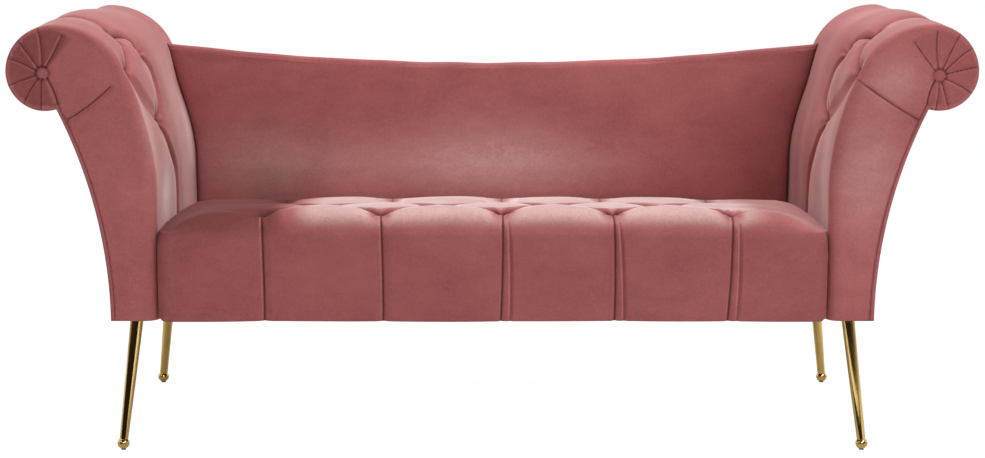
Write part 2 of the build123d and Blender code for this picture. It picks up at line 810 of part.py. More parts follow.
def back_sheet(pad, drop, base, front=seat_front, rear=rear_face):
    """Upright slab between the arms and under the back's top edge, set in from both."""
    far = crown_x
    points = [(far, base), (far, back_top(far, drop)), (-far, back_top(far, drop)), (-far, base)]
    edges = outline("XZ", points)
    edges[1] = arc("XZ", points[1], (0, back_top(0, drop)), points[2])
    arm = thicken("XZ", arm_outline(-pad - soft_gap, arm_outer_panel_thickness, 0), front, rear)
    return thicken("XZ", edges, front, rear).cut(arm, mirrored(arm))


def back_slab(front, rear, base):
    """Leaning slab between two depths behind the back's front face, seen from the side."""
    top = arm_height
    slope = back_recline / (back_middle_height - seat_height)
    lean_at = [(z, back_face + slope * (z - seat_height)) for z in (base, seat_height, top)]
    faces = [max(back_face, y) for _, y in lean_at]
    heights = [z for z, _ in lean_at]
    near = [(y + front, z) for y, z in zip(faces, heights)]
    far = [(y + rear, z) for y, z in zip(faces, heights)] if rear is not None else None
    if far is None:
        far = [(back_frame_rear, base), (back_frame_rear, top)]
    points = [*near, *reversed(far)]
    return thicken("YZ", outline("YZ", points), -overall_length / 2, overall_length / 2)


def between_arms(shape):
    """The middle solid of a slab that the arms cut into three."""
    return min(shape.solids(), key=lambda s: abs(s.center().X))


def back_piece(pad, drop, base, front, rear):
    """Part of the back: its front outline, cut to a leaning slab."""
    return between_arms(back_sheet(pad, drop, base) & back_slab(front, rear, base))


def back_cover():
    """Padded velvet over the front and the hollow top edge of the back."""
    solid = back_piece(0, 0, back_tuck_height, 0, None)
    long_edges = [e for e in solid.edges() if e.bounding_box().size.X > overall_length / 2]
    top_edges = sorted(long_edges, key=lambda e: e.position_at(0.5).Z)[-2:]
    front_edge = min(top_edges, key=lambda e: e.position_at(0.5).Y)
    solid = solid.fillet(back_top_radius, [front_edge])
    cover = back_cover_thickness
    return solid.cut(back_piece(cover, cover, back_tuck_height - cover, cover, None))


def back_frame_wedge(low, high, half):
    """Wedge of the back's frame between two heights, behind the board."""
    room = block((-half, seat_front, low), (half, rear_face, high))
    return back_slab(back_layers, None, low) & room


def back_posts(low):
    half = arm_inner_x - back_cover_thickness - back_frame_margin - post_width / 2
    posts = []
    for n in range(post_count):
        x = -half + n * 2 * half / (post_count - 1)
        near = abs(x) - post_width / 2 if abs(x) > post_width / 2 else 0.0
        high = back_top(near, back_cover_thickness + back_rail_height)
        room = block((x - post_width / 2, seat_front, low), (x + post_width / 2, rear_face, high))
        posts.append(back_slab(back_layers, None, low) & room)
    return posts


def build_back():
    cover, board = back_cover_thickness, back_cover_thickness + back_foam_thickness
    inner = cover + soft_gap
    half = arm_inner_x - cover - back_frame_margin
    bottom = back_frame_wedge(frame_base, rail_top, arm_inner_x - back_frame_margin)
    hole = bolt_diameter + 2 * bolt_hole_gap
    nut_face = back_frame_rear - nut_thickness - bolt_end
    holes = [rod((x, rear_rail_face, bolt_z), (x, rear_face, bolt_z), hole) for x in back_bolt_xs()]
    pockets = [
        rod((x, nut_face, bolt_z), (x, rear_face, bolt_z), nut_diameter + 2 * bolt_hole_gap)
        for x in back_bolt_xs()
    ]
    top = back_piece(inner, inner, back_tuck_height, back_layers, None)
    low_arc = back_sheet(0, cover + back_rail_height, back_tuck_height - cover)
    room = block((-half, seat_front, back_tuck_height), (half, rear_face, arm_height))
    panel = between_arms(back_sheet(0, 0, underside_height, back_frame_rear, rear_face))
    keep("back_cover", back_cover())
    keep("back_foam", back_piece(inner, inner, back_tuck_height, cover, board))
    keep("back_board", back_piece(inner, inner, back_tuck_height, board, back_layers))
    keep("back_top_rail", (top & room).cut(low_arc))
    keep("back_bottom_rail", bottom.cut(*holes, *pockets))
    keep("back_posts", *back_posts(rail_top))
    keep("back_outer_panel", panel)


# Legs
ball_centre_z = glide_proud + ball_diameter / 2


def leg_axis(front):
    """Top and foot of a right-hand leg's axis. It splays outwards, and forwards or backwards."""
    top_y = leg_tops[0] if front else leg_tops[1]
    toward = -1 if front else 1
    top = Vector(leg_top_x, top_y, underside_height)
    foot = Vector(leg_top_x + leg_splay, top_y + toward * leg_splay, ball_centre_z)
    return top, foot


def leg(front):
    """Tapered tube, cut level under its plate and cupped over its ball."""
    top, foot = leg_axis(front)
    axis = (top - foot).normalized()
    length = (top - foot).length
    over = leg_top_diameter
    taper = (leg_top_diameter - leg_bottom_diameter) / length
    high_radius = (leg_top_diameter + taper * over) / 2
    tube = Solid.make_cone(leg_bottom_diameter / 2, high_radius, length + over, Plane(foot, z_dir=axis))
    bore_low = foot + axis * ball_stud_length
    bore_radius = (leg_bottom_diameter + taper * ball_stud_length) / 2 - leg_wall
    bore_length = length + over - ball_stud_length
    bore = Solid.make_cone(bore_radius, high_radius - leg_wall, bore_length, Plane(bore_low, z_dir=axis))
    above = block(
        (top.X - 4 * over, top.Y - 4 * over, underside_height),
        (top.X + 4 * over, top.Y + 4 * over, underside_height + 4 * over),
    )
    ball = Solid.make_sphere(ball_diameter / 2, Plane(foot))
    stud = Solid.make_cylinder(ball_stud_diameter / 2, ball_stud_length, Plane(foot, z_dir=axis))
    return tube.cut(bore, above, ball, stud)


def ball_foot(front):
    """Ball with a stud that is pressed into the tube, and a pocket for its glide."""
    top, foot = leg_axis(front)
    axis = (top - foot).normalized()
    ball = Solid.make_sphere(ball_diameter / 2, Plane(foot))
    stud = Solid.make_cylinder(ball_stud_diameter / 2, ball_stud_length, Plane(foot, z_dir=axis))
    pocket = rod((foot.X, foot.Y, 0), (foot.X, foot.Y, glide_height), glide_diameter)
    return ball.fuse(stud).cut(pocket)


def glide(front):
    foot = leg_axis(front)[1]
    return rod((foot.X, foot.Y, 0), (foot.X, foot.Y, glide_height), glide_diameter)


def leg_plate(front):
    top = leg_axis(front)[0]
    half = leg_plate_size / 2
    high = (top.X + half, top.Y + half, board_base)
    solid = block((top.X - half, top.Y - half, underside_height), high)
    hole = plate_screw_diameter + 2 * screw_hole_gap
    near = [(x, y) for x, y in plate_screw_places() if abs(y - top.Y) < leg_plate_size]
    return solid.cut(*(rod((x, y, underside_height), (x, y, board_base), hole) for x, y in near))


def plate_screw(x, y):
    head_low = underside_height - plate_screw_head_height
    head = rod((x, y, head_low), (x, y, underside_height), plate_screw_head_diameter)
    return head.fuse(rod((x, y, underside_height), (x, y, underside_height + plate_screw_length),
                         plate_screw_diameter))


def build_legs():
    for front in (True, False):
        place = "front" if front else "rear"
        keep(f"right_{place}_leg", leg(front))
        keep(f"left_{place}_leg", mirrored(leg(front)))
    ends = (True, False)
    keep("ball_feet", *both_sides([ball_foot(f) for f in ends]))
    keep("foot_glides", *both_sides([glide(f) for f in ends]))
    keep("leg_plates", *both_sides([leg_plate(f) for f in ends]))
    keep("leg_plate_screws", *both_sides([plate_screw(x, y) for x, y in plate_screw_places()]))


# Frame bolts
def bolt_and_nut(head_face, nut_face, direction):
    """Bolt with its head against one face and a flanged nut against the other."""
    head_face, nut_face = Vector(*head_face), Vector(*nut_face)
    along = Vector(*direction)
    tip = nut_face + along * (nut_thickness + bolt_end)
    bolt = rod(tuple(head_face - along * bolt_head_height), tuple(head_face), bolt_head_diameter)
    bolt = bolt.fuse(rod(tuple(head_face), tuple(tip), bolt_diameter))
    nut = rod(tuple(nut_face), tuple(nut_face + along * nut_thickness), nut_diameter)
    return bolt, nut.cut(rod(tuple(nut_face), tuple(tip), bolt_diameter))


def build_bolts():
    arm_pairs = []
    for y in arm_bolt_ys:
        head = (arm_inner_x - rail_thickness, y, bolt_z)
        arm_pairs.append(bolt_and_nut(head, (arm_inner_x + bolt_rail_width, y, bolt_z), (1, 0, 0)))
    nut_y = back_frame_rear - nut_thickness - bolt_end
    back_pairs = [
        bolt_and_nut((x, side_rail_rear, bolt_z), (x, nut_y, bolt_z), (0, 1, 0)) for x in back_bolt_xs()
    ]
    keep("arm_bolts", *both_sides([bolt for bolt, _ in arm_pairs]))
    keep("arm_bolt_nuts", *both_sides([nut for _, nut in arm_pairs]))
    keep("back_bolts", *(bolt for bolt, _ in back_pairs))
    keep("back_bolt_nuts", *(nut for _, nut in back_pairs))


def main():
    build_arm_upholstery()
    build_arm_frame()
    build_seat_upholstery()
    build_seat_frame()
    build_springs()
    build_back()
    build_legs()
    build_bolts()
    os.makedirs("parts", exist_ok=True)
    for name, solids in pieces.items():
        export_step(Compound(list(solids)), f"parts/{name}.step")


if __name__ == "__main__":
    main()
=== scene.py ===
import json
import logging
import math
from dataclasses import dataclass, field
from enum import Enum
from typing import Any, Iterable, Sequence

import bmesh
import bpy
import numpy as np
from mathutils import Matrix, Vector
from mathutils.geometry import delaunay_2d_cdt


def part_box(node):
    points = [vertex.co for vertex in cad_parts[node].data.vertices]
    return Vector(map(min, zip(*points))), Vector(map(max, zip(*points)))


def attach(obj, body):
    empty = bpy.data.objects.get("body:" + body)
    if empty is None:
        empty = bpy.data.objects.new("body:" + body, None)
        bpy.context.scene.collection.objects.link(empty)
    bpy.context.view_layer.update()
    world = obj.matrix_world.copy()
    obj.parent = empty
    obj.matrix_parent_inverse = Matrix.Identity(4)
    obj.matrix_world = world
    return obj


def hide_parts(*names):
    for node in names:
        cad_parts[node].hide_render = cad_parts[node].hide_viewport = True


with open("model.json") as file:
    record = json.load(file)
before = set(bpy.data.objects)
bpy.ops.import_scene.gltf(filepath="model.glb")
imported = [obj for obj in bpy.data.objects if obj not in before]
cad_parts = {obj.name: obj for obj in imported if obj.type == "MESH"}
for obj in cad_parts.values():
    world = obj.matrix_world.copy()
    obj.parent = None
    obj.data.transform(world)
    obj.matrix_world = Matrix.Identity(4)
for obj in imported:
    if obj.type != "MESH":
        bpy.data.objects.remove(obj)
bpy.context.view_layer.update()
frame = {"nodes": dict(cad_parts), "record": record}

log = logging.getLogger("settee")
MM = 0.001
MERGE_DISTANCE = 2e-6
# Distance between rows of filling points, and least distance from the outline, as shares of their step
ROW_SHARE = 0.87
OUTLINE_SHARE = 0.6
Point2 = tuple[float, float]
Colour = tuple[float, float, float]


# Shader graphs

class Value:
    """A shader socket that can be used in Python expressions."""

    def __init__(self, graph: "Graph", socket: bpy.types.NodeSocket) -> None:
        """Wraps an output socket of one of a graph's nodes."""
        self.graph = graph
        self.socket = socket

    def __add__(self, other: "Value | float") -> "Value":
        """Sum."""
        return self.graph.math("ADD", self, other)

    def __radd__(self, other: float) -> "Value":
        """Sum, with the number first."""
        return self.graph.math("ADD", other, self)

    def __sub__(self, other: "Value | float") -> "Value":
        """Difference."""
        return self.graph.math("SUBTRACT", self, other)

    def __rsub__(self, other: float) -> "Value":
        """Difference, with the number first."""
        return self.graph.math("SUBTRACT", other, self)

    def __mul__(self, other: "Value | float") -> "Value":
        """Product."""
        return self.graph.math("MULTIPLY", self, other)

    def __rmul__(self, other: float) -> "Value":
        """Product, with the number first."""
        return self.graph.math("MULTIPLY", other, self)

    def clamped(self) -> "Value":
        """Held between 0 and 1."""
        return self.graph.math("ADD", self, 0.0, clamp=True)


class Graph:
    """A material under construction."""

    def __init__(self, name: str) -> None:
        """Starts an empty node material.

        Args:
            name: Name of the material.
        """
        self.material = bpy.data.materials.new(name)
        self.material.use_nodes = True
        self.tree = self.material.node_tree
        self.tree.nodes.clear()
        self.coords = self.node("ShaderNodeTexCoord", out="Object")

    def node(
        self,
        kind: str,
        settings: dict[str, Any] | None = None,
        sockets: dict[str | int, Any] | None = None,
        out: str | int = 0,
    ) -> Value:
        """Adds a node.

        Args:
            kind: Blender's type name of the node.
            settings: Properties of the node.
            sockets: Values or links of its inputs.
            out: Which output to return.

        Returns:
            The chosen output.
        """
        item = self.tree.nodes.new(kind)
        for key, value in (settings or {}).items():
            setattr(item, key, value)
        for key, value in (sockets or {}).items():
            self.feed(item.inputs[key], value)
        return Value(self, item.outputs[out])

    def feed(self, socket: bpy.types.NodeSocket, value: Any) -> None:
        """Links or sets one input socket.

        Args:
            socket: The input.
            value: A Value to link, or a constant.
        """
        if isinstance(value, Value):
            self.tree.links.new(value.socket, socket)
        elif isinstance(value, tuple) and len(value) == 3 and socket.type == "RGBA":
            socket.default_value = (*value, 1.0)
        else:
            socket.default_value = value

    def math(self, operation: str, a: Any, b: Any, clamp: bool = False) -> Value:
        """Adds a Math node, whose result can be held between 0 and 1."""
        return self.node("ShaderNodeMath", {"operation": operation, "use_clamp": clamp}, {0: a, 1: b})

    def noise(
        self, scale: float, detail: float = 2.0, stretch: Sequence[float] = (1, 1, 1), distortion: float = 0.0
    ) -> Value:
        """Adds a noise on Object coordinates.

        Args:
            scale: Cells per metre.
            detail: Octaves.
            stretch: Scale along each axis.
            distortion: Warp of the pattern.

        Returns:
            The noise, about 0 to 1.
        """
        place = self.node("ShaderNodeMapping", sockets={"Vector": self.coords, "Scale": tuple(stretch)})
        return self.node(
            "ShaderNodeTexNoise",
            sockets={"Vector": place, "Scale": scale, "Detail": detail, "Distortion": distortion},
        )

    def mix(self, factor: Value | float, a: Any, b: Any) -> Value:
        """Mixes two colours by the share of the second."""
        return self.node("ShaderNodeMix", {"data_type": "RGBA"}, {0: factor, 6: a, 7: b}, out=2)

    def bump(self, height: Value, strength: float, distance: float, below: Value | None = None) -> Value:
        """Adds a bump.

        Args:
            height: Height pattern, 0 to 1.
            strength: Strength of the bump.
            distance: Height of the pattern in metres.
            below: Normal that it is laid on.

        Returns:
            The bumped normal.
        """
        sockets: dict[str | int, Any] = {"Height": height, "Strength": strength, "Distance": distance}
        if below is not None:
            sockets["Normal"] = below
        return self.node("ShaderNodeBump", sockets=sockets)

    def surface(self, **sockets: Any) -> bpy.types.Material:
        """Ends the graph in one Principled shader, with _ for a space in the name of an input."""
        named = {key.replace("_", " "): value for key, value in sockets.items()}
        return self.end(self.node("ShaderNodeBsdfPrincipled", sockets=named))

    def end(self, shader: Value) -> bpy.types.Material:
        """Links a shader to the material's output.

        Args:
            shader: The whole surface.

        Returns:
            The finished material.
        """
        output = self.tree.nodes.new("ShaderNodeOutputMaterial")
        self.feed(output.inputs["Surface"], shader)
        return self.material


# Finishes

@dataclass(frozen=True)
class Velvet:
    """Pile velvet with a soft sheen, painted shade along its folds and seams, and pale and dark patches that
    stand partly for pile lying another way and partly for painted highlight and painted shade.
    """

    name: str = "rose_velvet"
    light: Colour = (0.385, 0.118, 0.116)
    dark: Colour = (0.240, 0.058, 0.061)
    # deep is the colour of the painted shade in folds and seams
    deep: Colour = (0.030, 0.007, 0.008)
    # pale, lift and the highlight tint give the painted highlight on crests and pale patches
    pale: Colour = (0.72, 0.55, 0.525)
    sheen: float = 0.30
    tint: Colour = (1.0, 0.74, 0.71)
    raised_tint: Colour = (1.0, 0.91, 0.895)
    lift: float = 0.52

    def build(self) -> bpy.types.Material:
        """Makes the material.

        Returns:
            The finished material.
        """
        graph = Graph(self.name)
        patches = graph.noise(8.0, 4.0, (1.0, 1.0, 1.2), 0.4)
        strokes = graph.noise(30.0, 3.0, (0.7, 0.9, 1.4), 0.8)
        mottle = graph.noise(170.0, 3.0)
        grain = graph.noise(420.0, 2.0)
        pile = graph.noise(1300.0, 2.0)
        share = 0.5 + (patches - 0.5) * 0.85 + (strokes - 0.5) * 0.45 + (mottle - 0.5) * 0.45
        share = share + (grain - 0.5) * 0.85 + (pile - 0.5) * 0.25
        # The crease attribute holds painted shade above zero (folds, seams, dark patches) and painted
        # highlight below zero (crests, pale patches)
        seam = graph.node("ShaderNodeAttribute", {"attribute_name": "crease"}, out="Fac")
        colour = graph.mix(share.clamped(), self.dark, self.light)
        weave = graph.bump(strokes, 0.10, 0.004)
        common = {
            "Roughness": (0.72 + (mottle - 0.5) * 0.25).clamped(),
            "Normal": graph.bump(pile, 0.22, 0.0005, weave),
            "Specular IOR Level": 0.2,
            "Sheen Roughness": 0.30,
        }
        # Share of the painted highlight: a paler base colour and full sheen where the attribute is below zero
        highlight_share = (seam * (strokes * -0.25 - mottle * 0.25 - grain * 0.3 - 0.6)).clamped()
        smooth = graph.node("ShaderNodeBsdfPrincipled", sockets={
            **common, "Base Color": colour, "Sheen Weight": self.sheen, "Sheen Tint": self.tint,
        })
        highlight_bsdf = graph.node("ShaderNodeBsdfPrincipled", sockets={
            **common, "Base Color": graph.mix(highlight_share * self.lift, colour, self.pale), "Sheen Weight": 1.0,
            "Sheen Tint": self.raised_tint,
        })
        # Painted shade: a dark diffuse that stands in for the shadow in folds and seams, mixed in where the
        # attribute is above zero
        shade = graph.mix(mottle, self.deep, self.dark)
        fold = graph.node("ShaderNodeBsdfDiffuse", sockets={"Color": graph.mix(0.8, shade, self.deep)})
        nap = graph.node("ShaderNodeMixShader", sockets={0: highlight_share, 1: smooth, 2: highlight_bsdf})
        shade_share = (seam * 0.95).clamped()
        return graph.end(graph.node("ShaderNodeMixShader", sockets={0: shade_share, 1: nap, 2: fold}))


@dataclass(frozen=True)
class Brass:
    """Polished brass plate with faint wiping marks."""

    name: str = "polished_brass"
    colour: Colour = (0.78, 0.54, 0.19)
    tarnish: Colour = (0.62, 0.40, 0.12)
    polish: float = 0.05

    def build(self) -> bpy.types.Material:
        """Makes the material.

        Returns:
            The finished material.
        """
        graph = Graph(self.name)
        clouds = graph.noise(40.0, 3.0, (1, 1, 0.35))
        wipes = graph.noise(900.0, 2.0, (1, 1, 0.05))
        colour = graph.mix(((clouds - 0.45) * 1.6).clamped(), self.colour, self.tarnish)
        return graph.surface(
            Base_Color=colour, Metallic=1.0, Roughness=(self.polish + clouds * 0.05 + wipes * 0.04).clamped(),
            Normal=graph.bump(wipes, 0.03, 0.0002),
        )


class Grain(Enum):
    """Direction that the grain of a board runs in."""

    ALONG_X = (0.08, 1.0, 1.0)
    ALONG_Y = (1.0, 0.08, 1.0)
    ALONG_Z = (1.0, 1.0, 0.08)


@dataclass(frozen=True)
class Timber:
    """Unfinished wood or board with its grain along one axis."""

    name: str
    light: Colour
    dark: Colour
    grain: Grain
    rings: float = 120.0

    def build(self) -> bpy.types.Material:
        """Makes the material.

        Returns:
            The finished material.
        """
        graph = Graph(self.name)
        bands = graph.noise(self.rings, 4.0, self.grain.value, 1.5)
        fibre = graph.noise(self.rings * 9.0, 2.0, self.grain.value)
        share = (bands - 0.35) * 1.7 + (fibre - 0.5) * 0.5
        return graph.surface(
            Base_Color=graph.mix(share.clamped(), self.light, self.dark),
            Roughness=(0.55 + bands * 0.25).clamped(), Normal=graph.bump(fibre, 0.2, 0.0004),
        )


@dataclass(frozen=True)
class Cloth:
    """Plain soft stuff: foam, felt, lining or cord."""

    name: str
    light: Colour
    dark: Colour
    cell: float
    relief: float

    def build(self) -> bpy.types.Material:
        """Makes the material.

        Returns:
            The finished material.
        """
        graph = Graph(self.name)
        cells = graph.noise(self.cell, 3.0)
        stain = graph.noise(12.0, 2.0)
        share = (cells - 0.5) * 1.4 + stain * 0.5 + 0.2
        return graph.surface(
            Base_Color=graph.mix(share.clamped(), self.light, self.dark),
            Roughness=(0.8 + cells * 0.15).clamped(), Normal=graph.bump(cells, 0.4, self.relief),
        )


@dataclass(frozen=True)
class Steel:
    """Wire or zinc-plated steel."""

    name: str
    light: Colour
    dark: Colour
    roughness: float

    def build(self) -> bpy.types.Material:
        """Makes the material.

        Returns:
            The finished material.
        """
        graph = Graph(self.name)
        spangle = graph.noise(220.0, 3.0)
        film = graph.noise(25.0, 2.0)
        return graph.surface(
            Base_Color=graph.mix((spangle * 0.7 + film * 0.4).clamped(), self.light, self.dark), Metallic=1.0,
            Roughness=(self.roughness + (film - 0.5) * 0.2).clamped(),
            Normal=graph.bump(spangle, 0.06, 0.0003),
        )


@dataclass(frozen=True)
class Nylon:
    """Moulded plastic of the glides."""

    name: str = "black_nylon"

    def build(self) -> bpy.types.Material:
        """Makes the material.

        Returns:
            The finished material.
        """
        graph = Graph(self.name)
        scuff = graph.noise(300.0, 3.0)
        return graph.surface(
            Base_Color=graph.mix(scuff, (0.012, 0.012, 0.012), (0.05, 0.05, 0.05)),
            Roughness=(0.4 + scuff * 0.3).clamped(), Normal=graph.bump(scuff, 0.1, 0.0002),
        )


# Mesh helpers

def turned(centre: Point2, radius: float, degrees: np.ndarray | float) -> np.ndarray:
    """Points of a circle, one a row, at angles counted from the first axis towards the second."""
    angle = np.radians(np.atleast_1d(degrees))
    return np.column_stack((centre[0] + radius * np.cos(angle), centre[1] + radius * np.sin(angle)))


def spaced(points: np.ndarray, step: float) -> np.ndarray:
    """Resamples a line at an even step.

    Args:
        points: Points of the line.
        step: Wanted distance between samples.

    Returns:
        Evenly spaced points with both ends kept.
    """
    run = lengths_of(points)
    count = max(2, int(round(run[-1] / step)) + 1)
    places = np.linspace(0.0, run[-1], count)
    return np.column_stack([np.interp(places, run, points[:, k]) for k in (0, 1)])


def normals_of(line: np.ndarray) -> np.ndarray:
    """Left-hand normals of a line, smoothed over neighbouring points.

    Args:
        line: Points in order.

    Returns:
        One unit normal a point.
    """
    along = np.gradient(line, axis=0)
    along /= np.maximum(np.hypot(along[:, 0], along[:, 1]), 1e-9)[:, None]
    return np.column_stack((-along[:, 1], along[:, 0]))


def lengths_of(line: np.ndarray) -> np.ndarray:
    """Distance along a line at each of its points."""
    return np.concatenate(([0.0], np.cumsum(np.hypot(*np.diff(line, axis=0).T))))


def gap_to(points: np.ndarray, line: np.ndarray) -> np.ndarray:
    """Distance of each point to the nearest point of a line."""
    return np.min(np.hypot(*(points[:, None, :] - line[None, :, :]).transpose(2, 0, 1)), axis=1)


def upright(places: np.ndarray, depth: np.ndarray | float) -> np.ndarray:
    """Points at some places on X and Z, all at one depth or each at its own."""
    return np.column_stack((places[:, 0], np.broadcast_to(depth, len(places)), places[:, 1]))


def grid_quads(rows: int, columns: int) -> np.ndarray:
    """Faces between rows of points that are closed rings.

    Args:
        rows: Number of rings.
        columns: Points in each ring.

    Returns:
        Four corner numbers a face.
    """
    row, column = np.meshgrid(np.arange(rows - 1), np.arange(columns), indexing="ij")
    near, after = row * columns, (column + 1) % columns
    far = near + columns
    return np.stack((near + column, near + after, far + after, far + column), axis=-1).reshape(-1, 4)


def filled(ring: np.ndarray, step: float | None) -> tuple[np.ndarray, list[list[int]]]:
    """Fills a closed outline with triangles.

    Args:
        ring: Points of the outline, in order.
        step: Distance between inner points, or None for none.

    Returns:
        All points, the ring's own first, and the triangles.
    """
    points = [Vector(p) for p in ring]
    if step:
        low, high = ring.min(axis=0), ring.max(axis=0)
        across, up = np.arange(low[0], high[0], step), np.arange(low[1], high[1], step * ROW_SHARE)
        grid_x, grid_z = np.meshgrid(across, up)
        grid_x[1::2] += step / 2
        inner = np.column_stack((grid_x.ravel(), grid_z.ravel()))
        points += [Vector(p) for p in inner[gap_to(inner, ring) > step * OUTLINE_SHARE]]
    edges = [(i, (i + 1) % len(ring)) for i in range(len(ring))]
    verts, _, faces, _, _, _ = delaunay_2d_cdt(points, edges, [], 1, 1e-6)
    return np.array([tuple(v) for v in verts]), [list(f) for f in faces]


class Mesh:
    """Collects points in millimetres and faces, and makes a finished piece of them."""

    def __init__(self) -> None:
        """Starts empty."""
        self.points: list[np.ndarray] = []
        self.marks: list[np.ndarray] = []
        self.faces: list[list[int]] = []
        self.count = 0

    def add(
        self, points: np.ndarray, faces: Iterable[Sequence[int]], marks: np.ndarray | None = None
    ) -> None:
        """Adds points and the faces between them.

        Args:
            points: One point a row.
            faces: Corner numbers, counted from these points.
            marks: Painted shade at each point, which below zero is painted highlight.
        """
        first = self.count
        self.points.append(np.asarray(points, float))
        self.marks.append(np.zeros(len(points)) if marks is None else np.asarray(marks, float))
        self.faces += [[int(i) + first for i in face] for face in faces]
        self.count += len(points)

    def close(self, ring: np.ndarray, axis: int) -> None:
        """Fills a ring of points that lies flat across one axis."""
        flat, triangles = filled(np.delete(ring, axis, axis=1), None)
        self.add(np.insert(flat, axis, ring[0, axis], axis=1), triangles)

    def piece(self, name: str, material: bpy.types.Material, mirror: bool = False) -> bpy.types.Object:
        """Makes the object.

        Args:
            name: Name of the piece.
            material: Its finish.
            mirror: Whether it is turned into its left-hand twin.

        Returns:
            The object, smooth shaded, with its faces outwards.
        """
        points = np.concatenate(self.points) * MM
        if mirror:
            points[:, 0] *= -1.0
        data = bpy.data.meshes.new(name)
        data.from_pydata(points.tolist(), [], self.faces)
        # The crease attribute carries the painted shade and painted highlight to the velvet
        seam = data.attributes.new("crease", "FLOAT", "POINT")
        seam.data.foreach_set("value", np.concatenate(self.marks).astype(np.float32))
        return finish_piece(name, data, material)


def placed(name: str, data: bpy.types.ID) -> bpy.types.Object:
    """Puts a new object with some data in the scene.

    Args:
        name: Name of the object.
        data: Its mesh, curve, light or camera.

    Returns:
        The object.
    """
    thing = bpy.data.objects.new(name, data)
    bpy.context.scene.collection.objects.link(thing)
    return thing


def finish_piece(name: str, data: bpy.types.Mesh, material: bpy.types.Material) -> bpy.types.Object:
    """Cleans a mesh and puts it in the scene.

    Args:
        name: Name of the piece.
        data: Its mesh, in metres.
        material: Its finish.

    Returns:
        The object.
    """
    work = bmesh.new()
    work.from_mesh(data)
    bmesh.ops.remove_doubles(work, verts=work.verts, dist=MERGE_DISTANCE)
    bmesh.ops.recalc_face_normals(work, faces=work.faces)
    work.to_mesh(data)
    work.free()
    data.polygons.foreach_set("use_smooth", [True] * len(data.polygons))
    data.materials.append(material)
    return placed(name, data)


def ramp(values: np.ndarray | float, start: np.ndarray | float, end: float) -> np.ndarray:
    """Smooth step from 0 at the start to 1 at the end, flat beyond both."""
    share = np.clip((np.asarray(values, float) - start) / (end - start), 0.0, 1.0)
    return share * share * (3 - 2 * share)


def bell(away: np.ndarray | float, width: np.ndarray | float, power: float = 2.0) -> np.ndarray:
    """Falls from 1 to 0 with distance, over about the given width."""
    return np.exp(-((away / width) ** power))


def ripple(a: np.ndarray, b: np.ndarray, size: float, seed: int) -> np.ndarray:
    """Soft unevenness of hand-stuffed padding.

    Args:
        a: First coordinate in millimetres.
        b: Second coordinate in millimetres.
        size: Typical width of a lump.
        seed: Number of the pattern.

    Returns:
        Heights of about -1 to 1.
    """
    random = np.random.default_rng(seed)
    total = np.zeros(np.broadcast(a, b).shape)
    for _ in range(9):
        turn, phase = random.uniform(0, math.tau, 2)
        pace = math.tau / (size * random.uniform(0.7, 1.8))
        total += np.sin((a * math.cos(turn) + b * math.sin(turn)) * pace + phase)
    return total / 4.0


# Sewn pleats and tufts on the flattened velvet

# Half width of the fold at a pleat's bottom, width of the painted highlight rim as a share of the painted
# shade line's, and how many times faster than the pleat's length the rim comes and goes at its ends
FOLD_HALF_WIDTH = 4.5
RIM_SHARE = 0.8
RIM_FADE = 12


@dataclass
class Crease:
    """A pleat drawn as a line on the flattened velvet: a soft valley with a sharp fold along its bottom,
    painted shade along the fold that spreads as painted shadow on its far side, and a painted highlight rim
    beside it.
    """

    path: Sequence[Point2]
    depth: tuple[float, float, float]
    lap: float
    open: float
    bow: float = 0.0
    dark: float = 1.0
    fold: float = 0.0
    edge: float = 0.0
    line_width: float = 2.0
    edge_gap: float = 4.0
    shadow: float = 0.0

    def line(self) -> np.ndarray:
        """The pleat's line: two ends bowed to one side, or several points with the corners rounded off.

        Returns:
            Points in order.
        """
        ends = np.array(self.path, float)
        if len(ends) > 2:
            for _ in range(2):
                near, far = ends[:-1], ends[1:]
                cut = np.stack((0.75 * near + 0.25 * far, 0.25 * near + 0.75 * far), axis=1).reshape(-1, 2)
                ends = np.vstack((ends[:1], cut, ends[-1:]))
            return ends
        share = np.linspace(0.0, 1.0, 9)[:, None]
        run = ends[1] - ends[0]
        across = np.array((-run[1], run[0])) / max(np.hypot(*run), 1e-9)
        return ends[0] + share * run + across * self.bow * (4 * share * (1 - share))

    def field(self, points: np.ndarray) -> "Field":
        """How the pleat shapes the velvet.

        Args:
            points: Places on the flattened velvet.

        Returns:
            The pleat's effect at each place.
        """
        line = self.line()
        count = len(line) - 1
        away, side, along = np.full(len(points), np.inf), np.zeros(len(points)), np.zeros(len(points))
        off = np.zeros((len(points), 2))
        for n in range(count):
            start, run = line[n], line[n + 1] - line[n]
            share = np.clip((points - start) @ run / max(run @ run, 1e-9), 0.0, 1.0)
            gap = points - start - share[:, None] * run
            span = np.hypot(gap[:, 0], gap[:, 1])
            nearer = span < away
            away = np.where(nearer, span, away)
            off = np.where(nearer[:, None], gap, off)
            along = np.where(nearer, (n + share) / count, along)
            side = np.where(nearer, run[0] * gap[:, 1] - run[1] * gap[:, 0], side)
        a, b, c = self.depth
        deep = a + (4 * b - 3 * a - c) * along + (2 * a + 2 * c - 4 * b) * along**2
        sharp = np.clip(2 * deep / max(self.depth), 0, 1)
        width = np.where(side > 0, self.lap, self.open)
        # Painted shade along the fold, spread wider as painted shadow on the far side, and a painted
        # highlight rim beside it
        breadth = np.where(off[:, 1] > 0, max(self.shadow, self.line_width), self.line_width)
        rim = bell(away - self.edge_gap, RIM_SHARE * self.line_width) * (side < 0)
        rim = rim * np.clip(along * RIM_FADE, 0, 1) * np.clip((1 - along) * RIM_FADE, 0, 1)
        if self.shadow:
            rim = rim * (off[:, 1] < 0)
        sink = deep * ramp(away, width, 0.0) + self.fold * sharp * np.clip(1 - away / FOLD_HALF_WIDTH, 0, 1)
        dark = self.dark * sharp * bell(away, breadth)
        return Field(sink, dark, self.edge * rim * sharp, away)


